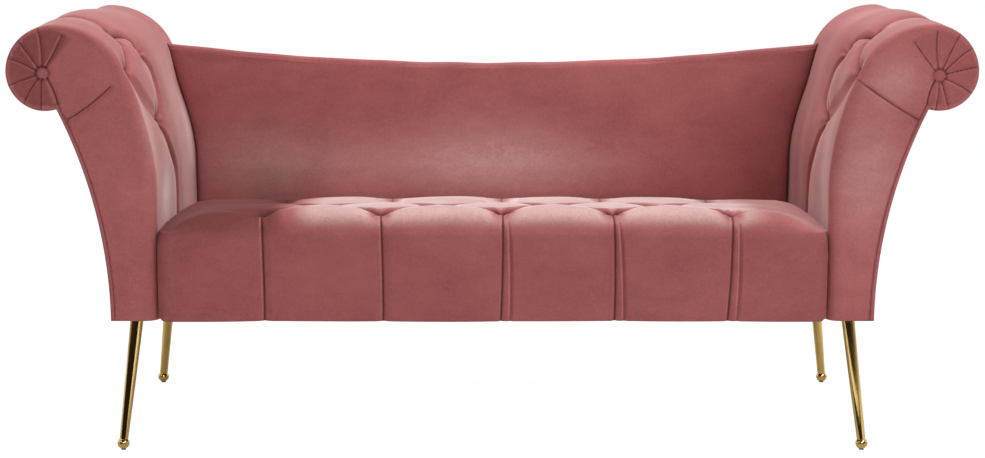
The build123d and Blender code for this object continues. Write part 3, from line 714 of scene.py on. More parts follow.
@dataclass
class Field:
    """What the quilting does at each of many places: how deep it sinks, its painted shade (dark), its painted
    highlight (light) and the distance to the nearest line.
    """

    sink: np.ndarray
    dark: np.ndarray
    light: np.ndarray
    least: np.ndarray

    @classmethod
    def flat(cls, count: int) -> "Field":
        """Nothing drawn in anywhere."""
        return cls(np.zeros(count), np.zeros(count), np.zeros(count), np.full(count, 1e6))

    def join(self, other: "Field", places: np.ndarray) -> None:
        """Adds another effect.

        Args:
            other: Effect at some of the places.
            places: Numbers of those places.
        """
        self.sink[places] = np.maximum(self.sink[places], other.sink)
        self.dark[places] = np.maximum(self.dark[places], other.dark)
        self.light[places] = np.maximum(self.light[places], other.light)
        self.least[places] = np.minimum(self.least[places], other.least)


@dataclass
class Tuft:
    """A blind tuft: the velvet is sewn down at a point, and gathers round it; painted shade fills its pit,
    wider on the far side.
    """

    place: Point2
    depth: float
    radius: float
    gathers: int = 9
    pull: float = 1.2
    phase: float = 0.0
    dark: float = 0.9
    shadow: Point2 = (9.0, 3.2)
    fall: float = 1.3
    steep: float = 1.5
    gather_ring: Point2 = (0.7, 0.5)
    core: float = 12.0

    def field(self, points: np.ndarray) -> tuple[Field, np.ndarray]:
        """How the tuft shapes the velvet.

        Args:
            points: Places on the flattened velvet.

        Returns:
            The tuft's effect, and the height of the gathers round it.
        """
        off = points - np.array(self.place)
        away = np.hypot(off[:, 0], off[:, 1])
        turn = np.arctan2(off[:, 1], off[:, 0])
        out = Field.flat(len(points))
        out.sink = self.depth * bell(away, self.radius, self.fall) ** self.steep
        # Painted shade in the tuft's pit, spread wider as painted shadow on the far side
        out.dark = self.dark * bell(away, np.where(off[:, 1] > 0, *self.shadow))
        wave = np.cos(self.gathers * turn + self.phase + 1.3 * np.sin(2 * turn + self.phase))
        place, width = self.gather_ring
        ring = bell(away - place * self.radius, width * self.radius) * np.clip(away / self.core, 0, 1)
        return out, self.pull * wave * ring


@dataclass
class Quilt:
    """All the tufts and pleats of one cover."""

    creases: list[Crease] = field(default_factory=list)
    tufts: list[Tuft] = field(default_factory=list)
    puff: float = 5.0
    puff_width: float = 45.0
    reach: float = 100.0

    def shape(self, points: np.ndarray) -> tuple[np.ndarray, np.ndarray]:
        """Adds up the whole quilting.

        Args:
            points: Places on the flattened velvet.

        Returns:
            Height over the plain cover, and the painted shade there, which below zero is painted highlight.
        """
        total = Field.flat(len(points))
        gather = np.zeros(len(points))
        for crease in self.creases:
            line = crease.line()
            low, high = line.min(axis=0) - self.reach, line.max(axis=0) + self.reach
            near = np.flatnonzero(np.all((points > low) & (points < high), axis=1))
            total.join(crease.field(points[near]), near)
        for tuft in self.tufts:
            near = np.flatnonzero(np.all(np.abs(points - tuft.place) < self.reach, axis=1))
            effect, wave = tuft.field(points[near])
            total.join(effect, near)
            gather[near] += wave
        swell = self.puff * (1 - bell(total.least, self.puff_width))
        return swell - total.sink + gather, total.dark - total.light * (1 - total.dark)


@dataclass(frozen=True)
class Patch:
    """A soft patch of painted shade, which below zero is painted highlight, standing partly also for pile
    lying another way.
    """

    place: Point2
    size: Point2
    shade: float

    def at(self, points: np.ndarray) -> np.ndarray:
        """How much painted shade (below zero, painted highlight) the patch lays at some places."""
        off = (points - np.array(self.place)) / np.array(self.size)
        return self.shade * np.exp(-(off**2).sum(axis=1))


def brushed(dark: np.ndarray, points: np.ndarray, patches: Iterable[Patch]) -> np.ndarray:
    """Lays soft patches of painted shade and painted highlight under the fold and seam shading, whose
    darkness is given, and returns both together.
    """
    nap = sum((patch.at(points) for patch in patches), np.zeros(len(points)))
    return dark + np.clip(nap, -1, 1) * (1 - np.abs(dark))


# Sub-assemblies

class Side(Enum):
    """Which end of the settee an arm is at."""

    LEFT = -1
    RIGHT = 1

    @property
    def word(self) -> str:
        """Name of the end, as the CAD nodes use it."""
        return self.name.lower()


@dataclass
class ArmShape:
    """Outline of an arm seen from the front, for the right-hand end."""

    inner_x: float = 600.0
    underside: float = 254.0
    height: float = 786.0
    reach: float = 255.0
    base_thickness: float = 86.0
    lean: float = 14.5
    knee_radius: float = 500.0
    crown_radius: float = 145.0
    scroll_radius: float = 80.0
    curl_radius: float = 64.0
    curl_sweep: float = 105.0
    outer_bow: float = 23.0
    front: float = -317.0
    back: float = 319.0
    rear: float = 325.0
    panel: float = 8.0
    rear_slim: float = 15.0
    slim_depth: Point2 = (300.0, 590.0)
    slim_height: Point2 = (450.0, 640.0)

    def slimming(self, depth: np.ndarray | float) -> np.ndarray:
        """How much slimmer the arm's top is at a distance from its front."""
        return self.rear_slim * ramp(depth, *self.slim_depth)

    def upper(self, heights: np.ndarray) -> np.ndarray:
        """Share of the slimming at each height: none low down, and all of it near the top."""
        return ramp(heights, *self.slim_height)

    @property
    def crown_x(self) -> float:
        """Middle of the crown."""
        return self.inner_x + self.reach - self.scroll_radius

    @property
    def crown_centre(self) -> Point2:
        """Centre of the crown's arc."""
        return self.crown_x, self.height - self.crown_radius

    @property
    def curl_centre(self) -> Point2:
        """Centre of the curl under the scroll."""
        return self.crown_x + self.scroll_radius - self.curl_radius, self.height - self.scroll_radius

    def face(self) -> np.ndarray:
        """Inner face from the underside up to the shoulder.

        Returns:
            Points on X and Z.
        """
        slope = math.tan(math.radians(self.lean))
        shoulder = turned(self.crown_centre, self.crown_radius, 180 - self.lean)[0]
        corner = shoulder[1] - (shoulder[0] - self.inner_x) / slope
        knee_z = corner - self.knee_radius * math.tan(math.radians(self.lean / 2))
        knee = (self.inner_x + self.knee_radius, knee_z)
        bend = turned(knee, self.knee_radius, np.linspace(180, 180 - self.lean, 24))
        return np.vstack(([self.inner_x, self.underside], bend, shoulder))

    def roll(self) -> np.ndarray:
        """Crown, scroll and curl, from the shoulder to the throat.

        Returns:
            Points on X and Z.
        """
        scroll = (self.crown_x, self.height - self.scroll_radius)
        return np.vstack((
            turned(self.crown_centre, self.crown_radius, np.linspace(180 - self.lean, 90, 60)),
            turned(scroll, self.scroll_radius, np.linspace(90, 0, 50))[1:],
            turned(self.curl_centre, self.curl_radius, np.linspace(0, -self.curl_sweep, 50))[1:],
        ))

    def outer(self, inset: float) -> np.ndarray:
        """Hollow outer side from the throat down to the underside.

        Args:
            inset: How far inside the outer velvet the line lies.

        Returns:
            Points from the throat to the foot.
        """
        throat = self.roll()[-1] - (inset, 0.0)
        foot = np.array((self.inner_x + self.base_thickness - inset, self.underside))
        run = throat - foot
        chord = np.hypot(*run)
        radius = (chord**2 / 4 + self.outer_bow**2) / (2 * self.outer_bow)
        share = np.linspace(1.0, 0.0, 60)[:, None]
        across = np.array((-run[1], run[0])) / chord
        half = (share - 0.5) * chord
        hollow = np.sqrt(radius**2 - half**2) - (radius - self.outer_bow)
        return foot + share * run + across * hollow

    def wrap(self) -> np.ndarray:
        """The velvet's line over the inner face, the crown, the scroll and the curl."""
        return np.vstack((self.face(), self.roll()[1:]))

    def face_x(self, heights: np.ndarray) -> np.ndarray:
        """Distance of the inner face from the middle of the settee.

        Args:
            heights: Heights over the floor.

        Returns:
            One distance for each height.
        """
        line = self.wrap()
        top = int(np.argmax(line[:, 1]))
        return np.interp(heights, line[:top, 1], line[:top, 0])


@dataclass
class Arm:
    """One scroll arm: its padded cover, button, outer panel and rear panel."""

    side: Side
    velvet: bpy.types.Material
    shape: ArmShape = field(default_factory=ArmShape)
    step: float = 2.2
    face_step: float = 2.2
    edge_steps: int = 9
    edge_rounds: Point2 = (24.0, 8.0)
    edge_change: Point2 = (0.45, 0.70)
    outer_round: float = 1.5
    rear_round: float = 4.0
    slim_end: float = 120.0
    swell_run: Point2 = (30.0, 250.0)
    lump: float = 1.2
    lump_width: float = 170.0
    foot_calm: float = 60.0
    tail_calm: float = 30.0
    tufts: tuple[Point2, ...] = ((700.0, 48.0), (594.0, 204.0), (718.0, 234.0), (759.0, 158.0))
    pleat_angles: tuple[float, ...] = (137, 100, 66, 38, 8, -36, -76, -96)
    button: Point2 = (787.0, 697.0)
    dart: tuple[Point2, Point2] = ((626.0, 703.0), (750.0, 619.0))
    pleat_start: float = 9.0
    pleat_rims: Point2 = (78.0, 70.0)
    face_puff: float = 5.0
    face_puff_width: float = 40.0
    face_lump: float = 0.8
    face_lump_width: float = 120.0
    # Width of the painted shade along the front face's seam with the outer panel
    hem_width: float = 2.0
    button_sides: int = 72
    # Place and width of the painted shadow ring round the button
    button_gap: Point2 = (12.5, 2.2)
    panel_swell: float = 2.5
    panel_swell_width: float = 70.0
    panel_edge: float = 0.45
    puff: float = 4.0
    # Painted shade over the gathered scroll, where the pile also lies the other way
    scroll_shade: float = 0.20
    scroll_swell: float = 9.0
    scroll_from: Point2 = (-112.0, -104.0)
    scroll_to: Point2 = (137.0, 127.0)
    scroll_rim: Point2 = (84.0, 74.0)
    # Patches of painted highlight (below zero) and painted shade on the front face and the inner face, partly
    # also pile lying another way
    face_nap: tuple[Patch, ...] = (
        Patch((665.0, 520.0), (80.0, 140.0), -0.56), Patch((715.0, 690.0), (60.0, 45.0), -0.46),
    )
    wrap_nap: tuple[Patch, ...] = (
        Patch((250.0, 90.0), (220.0, 150.0), -0.34), Patch((220.0, 470.0), (240.0, 130.0), 0.24),
        Patch((620.0, 300.0), (110.0, 400.0), -0.12),
    )
    wrap: np.ndarray = field(init=False)
    reach: np.ndarray = field(init=False)
    quilt: Quilt = field(init=False)
    face: Quilt = field(init=False)

    def __post_init__(self) -> None:
        """Lays out the velvet's line, the distance along it and the quilting."""
        self.wrap = spaced(self.shape.wrap(), self.step)
        self.reach = lengths_of(self.wrap)
        self.quilt = self.wrap_quilt()
        self.face = self.face_quilt()

    def name(self, part: str) -> str:
        """Name of one of the arm's pieces."""
        return f"{self.side.word}_{part}"

    def laid(self, *places: Point2) -> list[Point2]:
        """Places on the flattened velvet, from heights on the inner face and depths from the front."""
        top = int(np.argmax(self.wrap[:, 1]))
        return [(float(np.interp(z, self.wrap[:top, 1], self.reach[:top])), depth) for z, depth in places]

    def wrap_quilt(self) -> Quilt:
        """Tufts and pleats of the inner face and crown.

        Returns:
            The quilting, drawn on distance along the velvet's line and depth from the front.
        """
        front, low, rear, high = self.tufts
        crown, end = self.reach[int(np.argmax(self.wrap[:, 1]))], self.reach[-1]
        over = [(crown - 58, 180.0), (crown - 10, 194.0), (crown + 40, 220.0), (end - 40, 262.0)]
        seat = [(548.0, 234.0), (497.0, 290.0), (450.0, 308.0), (390.0, 308.0)]
        line = {"dark": 0.9, "edge": 0.3, "line_width": 4.0, "edge_gap": 11.0, "shadow": 12.0}
        fore, aft = {"lap": 10, "open": 26, **line}, {"lap": 26, "open": 10, **line}
        creases = [
            Crease(self.laid(high, (741.0, 138.0), (719.0, 88.0), front), (13, 12, 13), fold=3.0, **fore),
            Crease(
                self.laid(front, (655.0, 80.0), (616.0, 146.0), low), (12, 6, 10), lap=30, open=30, dark=0.2
            ),
            Crease(self.laid(low, (622.0, 248.0), (670.0, 256.0), rear), (13, 11, 10), fold=3.0, **aft),
            Crease(self.laid(rear, (744.0, 222.0), high), (10, 9, 12), fold=2.0, **aft),
            Crease(self.laid(high) + over, (12, 9, 6), fold=2.5, **aft),
            Crease(self.laid(low, *seat), (11, 8, 6), lap=24, open=16, fold=2.0, **{**line, "shadow": 6.0}),
        ]
        tufts = [
            Tuft(place, depth=15.0, radius=28.0, gathers=7, pull=0.9, phase=k * 1.7)
            for k, place in enumerate(self.laid(*self.tufts))
        ]
        return Quilt(creases, tufts, self.puff, puff_width=40.0)

    def face_quilt(self) -> Quilt:
        """Radial pleats, dart and seam of the front face, drawn on X and Z.

        Returns:
            The quilting.
        """
        bx, bz = self.button
        crown, inner = self.pleat_rims
        centre = self.shape.curl_centre
        creases = []
        for n, angle in enumerate(self.pleat_angles):
            start = turned((bx, bz), self.pleat_start, angle)[0]
            rim = turned(centre, crown if angle < 100 else inner, angle - 2.0)[0]
            bow = 3.0 if n % 2 else 1.0
            creases.append(Crease(
                [tuple(start), tuple(rim)], (2.6, 2.4, 2.0), lap=9, open=5, bow=bow, fold=0.8, edge=0.6,
                line_width=1.0, edge_gap=2.6,
            ))
        throat = self.shape.outer(self.shape.panel)[0]
        seam = [(bx - 8, bz - 9), (throat[0] + 1, throat[1] + 3)]
        creases.append(Crease(
            seam, (3.5, 3.0, 3.0), lap=12, open=7, bow=-2.0, fold=1.2, edge=0.4, line_width=1.7, edge_gap=3.6,
        ))
        creases.append(Crease(
            self.dart, (3.2, 3.2, 2.6), lap=6, open=9, bow=-3, fold=1.4, edge=0.5, line_width=1.3,
            edge_gap=3.0,
        ))
        dimple = Tuft(self.button, depth=6.0, radius=17.0, gathers=11, pull=0.4)
        return Quilt(creases, [dimple], puff=0.0, puff_width=20.0)

    def edge_radius(self) -> np.ndarray:
        """Rounding of the front edge along the velvet: large on the inner face, small on the scroll."""
        inner, scroll = self.edge_rounds
        return inner + (scroll - inner) * ramp(self.reach / self.reach[-1], *self.edge_change)

    def slim(self, wrap: np.ndarray, depth: np.ndarray | float) -> np.ndarray:
        """How much slimmer the upper arm is towards the rear.

        Args:
            wrap: The velvet's line.
            depth: Distance from the front face.

        Returns:
            Distance inside the plain outline at each point of the line.
        """
        turn = lengths_of(wrap)
        high = self.shape.upper(wrap[:, 1]) * ramp(turn[-1] - turn, 0.0, self.slim_end)
        return self.shape.slimming(depth) * high

    def swell(self, wrap: np.ndarray) -> np.ndarray:
        """How much fuller the scroll is than the plain outline, most of all underneath."""
        turn = lengths_of(wrap)
        return self.scroll_swell * ramp(turn - turn[int(np.argmax(wrap[:, 1]))], *self.swell_run)

    def row(
        self, outer: np.ndarray, depth: np.ndarray, pad: np.ndarray, fade: float
    ) -> tuple[np.ndarray, np.ndarray]:
        """One ring of the cover.

        Args:
            outer: Line behind the outer panel.
            depth: Distance of each point of the ring from the front face.
            pad: How far each point is rounded in at the front edge.
            fade: How strong the quilting is here.

        Returns:
            Points of the ring, and the painted shade there, which below zero is painted highlight.
        """
        wrap, reach = self.wrap, self.reach
        count = len(wrap)
        places = np.column_stack((reach, depth[:count]))
        rise, dark = self.quilt.shape(places)
        lumps = self.lump * ripple(reach, depth[:count], self.lump_width, seed=5 + self.side.value)
        rise += lumps - self.puff
        calm = np.clip((reach - self.foot_calm) / self.foot_calm, 0, 1)
        calm = calm * np.clip((reach[-1] - reach) / self.tail_calm, 0, 1)
        lift = rise * fade * calm - self.slim(wrap, depth[:count]) + self.swell(wrap)
        ring = np.vstack((wrap, outer))
        inward = np.vstack((-normals_of(wrap), -normals_of(outer)))
        place = ring + inward * (pad - np.concatenate((lift, np.zeros(len(outer)))))[:, None]
        points = upright(place, self.shape.front + depth)
        # Painted shade in the folds and patches of painted highlight and shade; on the rounded front edge the
        # front face's painted shading takes over
        dark = brushed(dark, places, self.wrap_nap) * fade
        if fade < 1.0:
            _, face = self.face.shape(place[:count])
            face = brushed(face, place[:count], self.face_nap)
            dark = np.where(np.abs(face) > np.abs(dark), face * math.sqrt(1 - fade * fade), dark)
        return points, np.concatenate((dark, np.zeros(len(outer))))

    def cover(self) -> bpy.types.Object:
        """Padded velvet of the inner face, crown, scroll and front face.

        Returns:
            The piece.
        """
        shape = self.shape
        outer = spaced(shape.outer(shape.panel), 6.0)[2:]
        radius = np.concatenate((self.edge_radius(), np.full(len(outer), self.outer_round)))
        length = shape.back - shape.front
        rings = []
        for depth in np.arange(length, radius.max(), -self.step):
            tail = max(0.0, 1 - (length - depth) / self.rear_round)
            inset = self.rear_round * (1 - math.sqrt(1 - tail**2))
            pad = np.concatenate((np.full(len(self.wrap), inset), np.zeros(len(outer))))
            rings.append(self.row(outer, np.full(len(radius), depth), pad, 1.0))
        for angle in np.radians(np.linspace(0, 90, self.edge_steps + 1)[1:]):
            pad, depth = radius * (1 - math.cos(angle)), radius * (1 - math.sin(angle))
            rings.append(self.row(outer, depth, pad, math.cos(angle)))
        rows, marks = zip(*rings)
        mesh = Mesh()
        mesh.add(np.vstack(rows), grid_quads(len(rows), len(radius)), np.concatenate(marks))
        self.close_front(mesh, rows[-1])
        mesh.close(rows[0], 1)
        return mesh.piece(self.name("arm_cushion"), self.velvet, self.side is Side.LEFT)

    def close_front(self, mesh: Mesh, rim: np.ndarray) -> None:
        """Fills the front face inside its rounded rim.

        Args:
            mesh: Mesh of the cover.
            rim: Last row of the cover.
        """
        flat = rim[:, [0, 2]]
        points, triangles = filled(flat, self.face_step)
        rise, dark = self.face.shape(points)
        gap = gap_to(points, flat[::3])
        swell = self.face_puff * (1 - bell(gap, self.face_puff_width, 1.6))
        lumps = self.face_lump * ripple(points[:, 0], points[:, 1], self.face_lump_width, seed=11)
        rise = (rise + swell + lumps) * np.clip(gap / 3.0, 0, 1)
        rise[: len(flat)] = 0.0
        # Painted shade of the folds and of the gathered scroll, and patches of painted highlight and shade
        dark = brushed(dark + self.scroll_dark(points) * (1 - np.abs(dark)), points, self.face_nap)
        # Painted shade along the seam with the outer panel
        hem = bell(gap_to(points, spaced(self.shape.outer(self.shape.panel), 3.0)), self.hem_width)
        dark = dark * (1 - hem) + hem
        mesh.add(upright(points, self.shape.front - rise), triangles, dark)

    def scroll_dark(self, points: np.ndarray) -> np.ndarray:
        """Darker gathered scroll, with the pile lying the other way and painted shade, and a painted shadow
        ring round the button.

        Args:
            points: Places on the front face.

        Returns:
            How much darker each place is.
        """
        off = points - np.array(self.button)
        away, turn = np.hypot(off[:, 0], off[:, 1]), np.degrees(np.arctan2(off[:, 1], off[:, 0]))
        inside = ramp(turn, *self.scroll_to) * ramp(turn, *self.scroll_from) * ramp(away, *self.scroll_rim)
        # Painted shadow ring round the button
        place, width = self.button_gap
        return self.scroll_shade * inside + 0.5 * bell(away - place, width)

    def scroll_button(self) -> bpy.types.Object:
        """Velvet-covered button with a domed face and a tucked rim.

        Returns:
            The piece.
        """
        dome = [(0.0, -4.4), (3.0, -4.2), (6.0, -3.4), (8.4, -2.0), (9.9, 0.0)]
        rim = [(10.5, 2.0), (9.6, 4.4), (6.0, 5.6), (0.0, 6.0)]
        profile = spaced(np.array(dome + rim), 0.7)
        turns = np.linspace(0, math.tau, self.button_sides, endpoint=False)
        folds = 1 + 0.018 * np.cos(12 * turns)
        ring = np.column_stack((folds * np.cos(turns), folds * np.sin(turns)))
        rows = [upright(np.array(self.button) + r * ring, self.shape.front + y) for r, y in profile]
        # A painted highlight round the button's rim
        marks = [np.full(len(turns), -0.25 * bell(r - 9.0, 1.3)) for r, _ in profile]
        mesh = Mesh()
        mesh.add(np.vstack(rows), grid_quads(len(rows), len(turns)), np.concatenate(marks))
        return mesh.piece(self.name("covered_button"), self.velvet, self.side is Side.LEFT)

    def outer_panel(self) -> bpy.types.Object:
        """Flat-covered outer side, with rolled edges at the front and rear.

        Returns:
            The piece.
        """
        shape = self.shape
        outside, inside = spaced(shape.outer(0.0), 8.0), spaced(shape.outer(shape.panel - 0.3), 8.0)
        share, own = np.linspace(0, 1, len(outside)), np.linspace(0, 1, len(inside))
        inside = np.column_stack([np.interp(share, own, inside[:, k]) for k in (0, 1)])
        belly = normals_of(outside) * np.sin(np.linspace(0, math.pi, len(outside)))[:, None]
        edge = np.array((0.0, 0.6, 1.8, 4.0))
        middle = np.arange(shape.front + 10, shape.rear - 9, 10)
        rows = []
        for y in np.concatenate((shape.front + edge, middle, shape.rear - edge[::-1])):
            gap = min(y - shape.front, shape.rear - y)
            full = math.sqrt(max(0.0, 1 - max(0.0, 1 - gap / edge[-1]) ** 2))
            swell = self.panel_swell * (1 - bell(gap, self.panel_swell_width, 1.5))
            skin = inside + (outside - inside) * (self.panel_edge + (1 - self.panel_edge) * full)
            skin = skin + belly * swell
            rows.append(upright(np.vstack((skin, inside[::-1])), y))
        mesh = Mesh()
        mesh.add(np.vstack(rows), grid_quads(len(rows), len(rows[0])))
        for row in (rows[0], rows[-1]):
            mesh.close(row, 1)
        return mesh.piece(self.name("arm_side_panel"), self.velvet, self.side is Side.LEFT)

    def rear_panel(self) -> bpy.types.Object:
        """Rear cover of the arm, slightly stuffed.

        Returns:
            The piece.
        """
        wrap = spaced(self.shape.wrap(), 6.0)
        inset = self.slim(wrap, self.shape.back - self.shape.front) + 0.8 - self.swell(wrap)
        inset = inset + 2.7 * ramp(wrap[:, 1], 660.0, 690.0)
        wrap = wrap - normals_of(wrap) * inset[:, None]
        ring = np.vstack((wrap, spaced(self.shape.outer(self.shape.panel), 8.0)[2:]))
        mesh = stuffed_panel(ring, self.shape.back + 0.2, self.shape.rear, puff=4.0, step=9.0)
        return mesh.piece(self.name("arm_back_panel"), self.velvet, self.side is Side.LEFT)

    def build(self) -> None:
        cover = self.cover()
        declare(cover, "velvet", self.name("arm_cover"))
        declare(self.scroll_button(), "velvet", self.name("scroll_button"))
        declare(self.outer_panel(), "velvet", self.name("arm_outer_panel"))
        declare(self.rear_panel(), "velvet", self.name("arm_rear_panel"))


# Distances from a stuffed panel's edge at which its rolled rim has a row of points
PANEL_RIM = (0.0, 1.2, 2.6, 5.0)


def stuffed_panel(ring: np.ndarray, near: float, far: float, puff: float, step: float) -> Mesh:
    """Thin upright panel whose rear face swells a little.

    Args:
        ring: Outline on X and Z.
        near: Depth of its flat side.
        far: Depth of its rear edge.
        puff: How far the middle swells.
        step: Size of its faces.

    Returns:
        The mesh of the panel.
    """
    mesh = Mesh()
    run = np.roll(ring, -1, axis=0) - np.roll(ring, 1, axis=0)
    inward = np.column_stack((-run[:, 1], run[:, 0])) / np.hypot(run[:, 0], run[:, 1])[:, None]
    inward = inward * np.sign(np.cross(ring, np.roll(ring, -1, axis=0)).sum())
    fine = spaced(np.vstack((ring, ring[:1])), 2.0)

    def skin(places: np.ndarray) -> tuple[np.ndarray, np.ndarray]:
        """Points of the rear face at some places, and the painted shade along its edge seam there.

        Args:
            places: Places on X and Z.

        Returns:
            The points, and one shade for each.
        """
        gap = gap_to(places, fine)
        swell = puff * (1 - bell(gap, 45.0, 1.3)) + 0.6 * ripple(places[:, 0], places[:, 1], 180.0, seed=3)
        edge = (far - near) * 0.5 * bell(gap, 3.5, 1.2)
        depth = far + swell * np.clip(gap / 20.0, 0, 1) - edge
        # Painted shade in a narrow line along the edge seam
        return upright(places, depth), 0.5 * bell(gap, 1.6)

    rows, marks = zip(*(skin(ring + inward * gap) for gap in PANEL_RIM))
    mesh.add(np.vstack(rows), grid_quads(len(rows), len(ring)), np.concatenate(marks))
    points, triangles = filled(ring + inward * PANEL_RIM[-1], step)
    points, dark = skin(points)
    mesh.add(points, triangles, dark)
    mesh.close(upright(ring, near), 1)
    edges = upright(ring, near), upright(ring, far - (far - near) * 0.5)
    mesh.add(np.vstack(edges), grid_quads(2, len(ring)))
    return mesh


@dataclass
class Seat:
    """Tufted seat cover."""

    velvet: bpy.types.Material
    half: float = 599.4
    front: float = -325.0
    underside: float = 254.0
    height: float = 453.0
    rear: float = 221.4
    fall: float = 0.13
    nose_radius: float = 36.0
    bulge: float = 6.0
    thickness: float = 41.0
    wall: float = 19.5
    crown: float = 8.0
    side_radius: float = 36.0
    end_height: float = 416.0
    end_width: float = 60.0
    end_calm: float = 22.0
    rear_calm: float = 40.0
    end_round: Point2 = (9.0, 18.0)
    front_reach: float = 190.0
    corner_lift: float = 7.0
    corner_size: Point2 = (9.0, 26.0)
    lump: float = 1.4
    lump_width: float = 190.0
    tuft_depths: tuple[float, ...] = (16.0, 20.0, 20.0)
    tuft_radius: float = 28.0
    lining_rows: int = 24
    least_cover: float = 9.0
    step: float = 2.6
    fine_step: float = 1.1
    # Where and how strongly the top gets painted highlight, the left end is darker and the front gets painted
    # shade
    pale_run: Point2 = (404.0, 450.0)
    pale_rise: Point2 = (-13.0, -1.0)
    left_run: Point2 = (0.0, 100.0)
    right_run: Point2 = (10.0, 80.0)
    right_loss: float = 0.7
    top_shade: float = 0.98
    left_shade: float = 0.70
    front_shade: float = 0.17
    pleat_xs: tuple[float, ...] = (-414.0, -201.0, 18.0, 216.0, 430.0)
    middle_xs: tuple[float, ...] = (-318.0, -104.0, 106.0, 316.0)
    pleat_drift: tuple[float, ...] = (5.0, 5.0, -3.0, 3.0, -8.0)
    first_box_pleat: int = 2
    rows: tuple[float, ...] = (50.0, 196.0, 340.0)
    nose_points: int = 75
    cad_top: float = 450.0
    cad_drop: float = 52.0

    @property
    def crest(self) -> float:
        """Depth at which the flat top begins."""
        return self.front + self.bulge + self.nose_radius

    def top(self, y: np.ndarray | float) -> np.ndarray:
        """Height of the plain top at a depth."""
        back = np.maximum(0.0, np.asarray(y, float) - self.crest)
        return self.height - self.fall * back * np.clip(back / 60.0, 0, 1)

    def profile(self) -> np.ndarray:
        """Line of the velvet from the front underside up and over to the back.

        Returns:
            Points on Y and Z.
        """
        nose_y = self.front + self.bulge
        low, high = self.underside, self.height - self.nose_radius
        rise = np.linspace(0, 1, 30)
        fore = nose_y - self.bulge * np.sin(math.pi * rise) ** 0.8
        face = np.column_stack((fore, low + (high - low) * rise))
        nose = turned((self.crest, high), self.nose_radius, np.linspace(180, 90, 30))
        ys = np.linspace(self.crest, self.rear, 80)[1:]
        return np.vstack((face, nose[1:], np.column_stack((ys, self.top(ys)))))

    def side_drop(self, x: np.ndarray) -> np.ndarray:
        """How far the top falls towards the arms.

        Args:
            x: Places across the seat.

        Returns:
            One distance for each place.
        """
        inward = self.side_radius - np.minimum(self.side_radius, self.half - np.abs(x))
        rounding = self.side_radius - np.sqrt(np.maximum(self.side_radius**2 - inward**2, 0.0))
        return self.crown * np.abs(x / self.half) ** 3 + rounding * 0.9

    def columns(self) -> np.ndarray:
        """Places across the seat, closer together at the front pleats.

        Returns:
            The places, from left to right.
        """
        coarse = np.linspace(-self.half, self.half, int(2 * self.half / self.step) + 1)
        fine = [np.arange(x - 12.0, x + 24.0, self.fine_step) for x in self.pleat_xs]
        gap = np.min(np.abs(coarse[:, None] - np.concatenate(fine)[None, :]), axis=1)
        return np.unique(np.concatenate((coarse[gap > self.fine_step], *fine)))

    def quilt(self, reach: np.ndarray, line: np.ndarray) -> Quilt:
        """Tufts and pleats of the seat.

        Args:
            reach: Distance along the profile at each of its points.
            line: The profile.

        Returns:
            The quilting, drawn on X and distance along the profile.
        """
        ys, run = line[self.nose_points:, 0], reach[self.nose_points:]
        first, second, third = (float(np.interp(self.front + y, ys, run)) for y in self.rows)
        outer, inner = self.pleat_xs, self.middle_xs
        fold = {"dark": 0.92, "fold": 2.0, "line_width": 2.4, "shadow": 12.0}
        creases, tufts = [], []
        for n, x in enumerate(inner):
            for end in (outer[n], outer[n + 1]):
                bow = 9.0 if end < x else -9.0
                lap, gape = (30, 18) if end < x else (18, 30)
                creases.append(Crease([(x, second), (end, first)], (17, 14, 16), lap, gape, bow, **fold))
                creases.append(Crease([(x, second), (end, third)], (18, 14, 17), lap, gape, -bow, **fold))
        creases += [
            Crease([(x, third), (x, reach[-1])], (16, 9, 6), lap=36, open=36, dark=0.6) for x in outer
        ]
        creases += self.front_pleats(first)
        creases += self.end_pleats(first)
        for k, row in enumerate((first, second, third)):
            for n, x in enumerate(inner if k == 1 else outer):
                tufts.append(Tuft(
                    (x, row), self.tuft_depths[k], self.tuft_radius, gathers=8, pull=1.4, phase=1.1 * n + k
                ))
        return Quilt(creases, tufts, puff=5.0, puff_width=45.0)

    def front_pleats(self, first: float) -> list[Crease]:
        """Pleats from the front tufts over the nose and down the front.

        Args:
            first: Place of the front tufts along the profile.

        Returns:
            The pleats; the right-hand three are box pleats with two edges.
        """
        creases = []
        for n, (x, drift) in enumerate(zip(self.pleat_xs, self.pleat_drift)):
            foot, box = x + drift, n >= self.first_box_pleat
            valley = [(x, first), (x + 1, first - 62.0)]
            creases.append(Crease(valley, (15, 9, 1.5), lap=44, open=44, dark=0.0))
            creases.append(Crease(
                [(x, first), (foot, 0.0)], (6, 3.6, 3.2), lap=16, open=9 if box else 16, bow=2.0, fold=2.6,
                edge=0.3 if box else 0.5, line_width=1.6, edge_gap=3.6,
            ))
            if box:
                strip = [(x + 12, first - 46), (foot + 17, 0.0)]
                creases.append(Crease(
                    strip, (1.5, 2.6, 2.0), lap=6, open=18, bow=2.0, dark=0.4, fold=1.6, edge=0.6,
                    line_width=1.5, edge_gap=3.2,
                ))
        return creases

    def end_pleats(self, first: float) -> list[Crease]:
        """Short wrinkles from the end tufts towards the arms.

        Args:
            first: Place of the front tufts along the profile.

        Returns:
            The wrinkles.
        """
        left, right = self.pleat_xs[0], self.pleat_xs[-1]
        runs = [((-8, 62), 5.0), ((22, 74), 5.5), ((66, 66), 5.0), ((104, 84), 4.0), ((96, 18), 3.0)]
        creases = [
            Crease(
                [(right, first), (right + dx, first + ds)], (deep, deep * 0.8, 0.4), lap=12, open=7, bow=5.0,
                dark=0.25, fold=0.6,
            )
            for (dx, ds), deep in runs
        ]
        left_run = [(left, first), (left - 70, first + 6)]
        right_run = [(right, first), (right + 60, first + 8)]
        creases.append(Crease(left_run, (16, 8, 0.5), lap=34, open=34, bow=-4.0, dark=0.2))
        creases.append(Crease(right_run, (14, 5, 0.5), lap=30, open=30, bow=4.0, dark=0.1))
        return creases

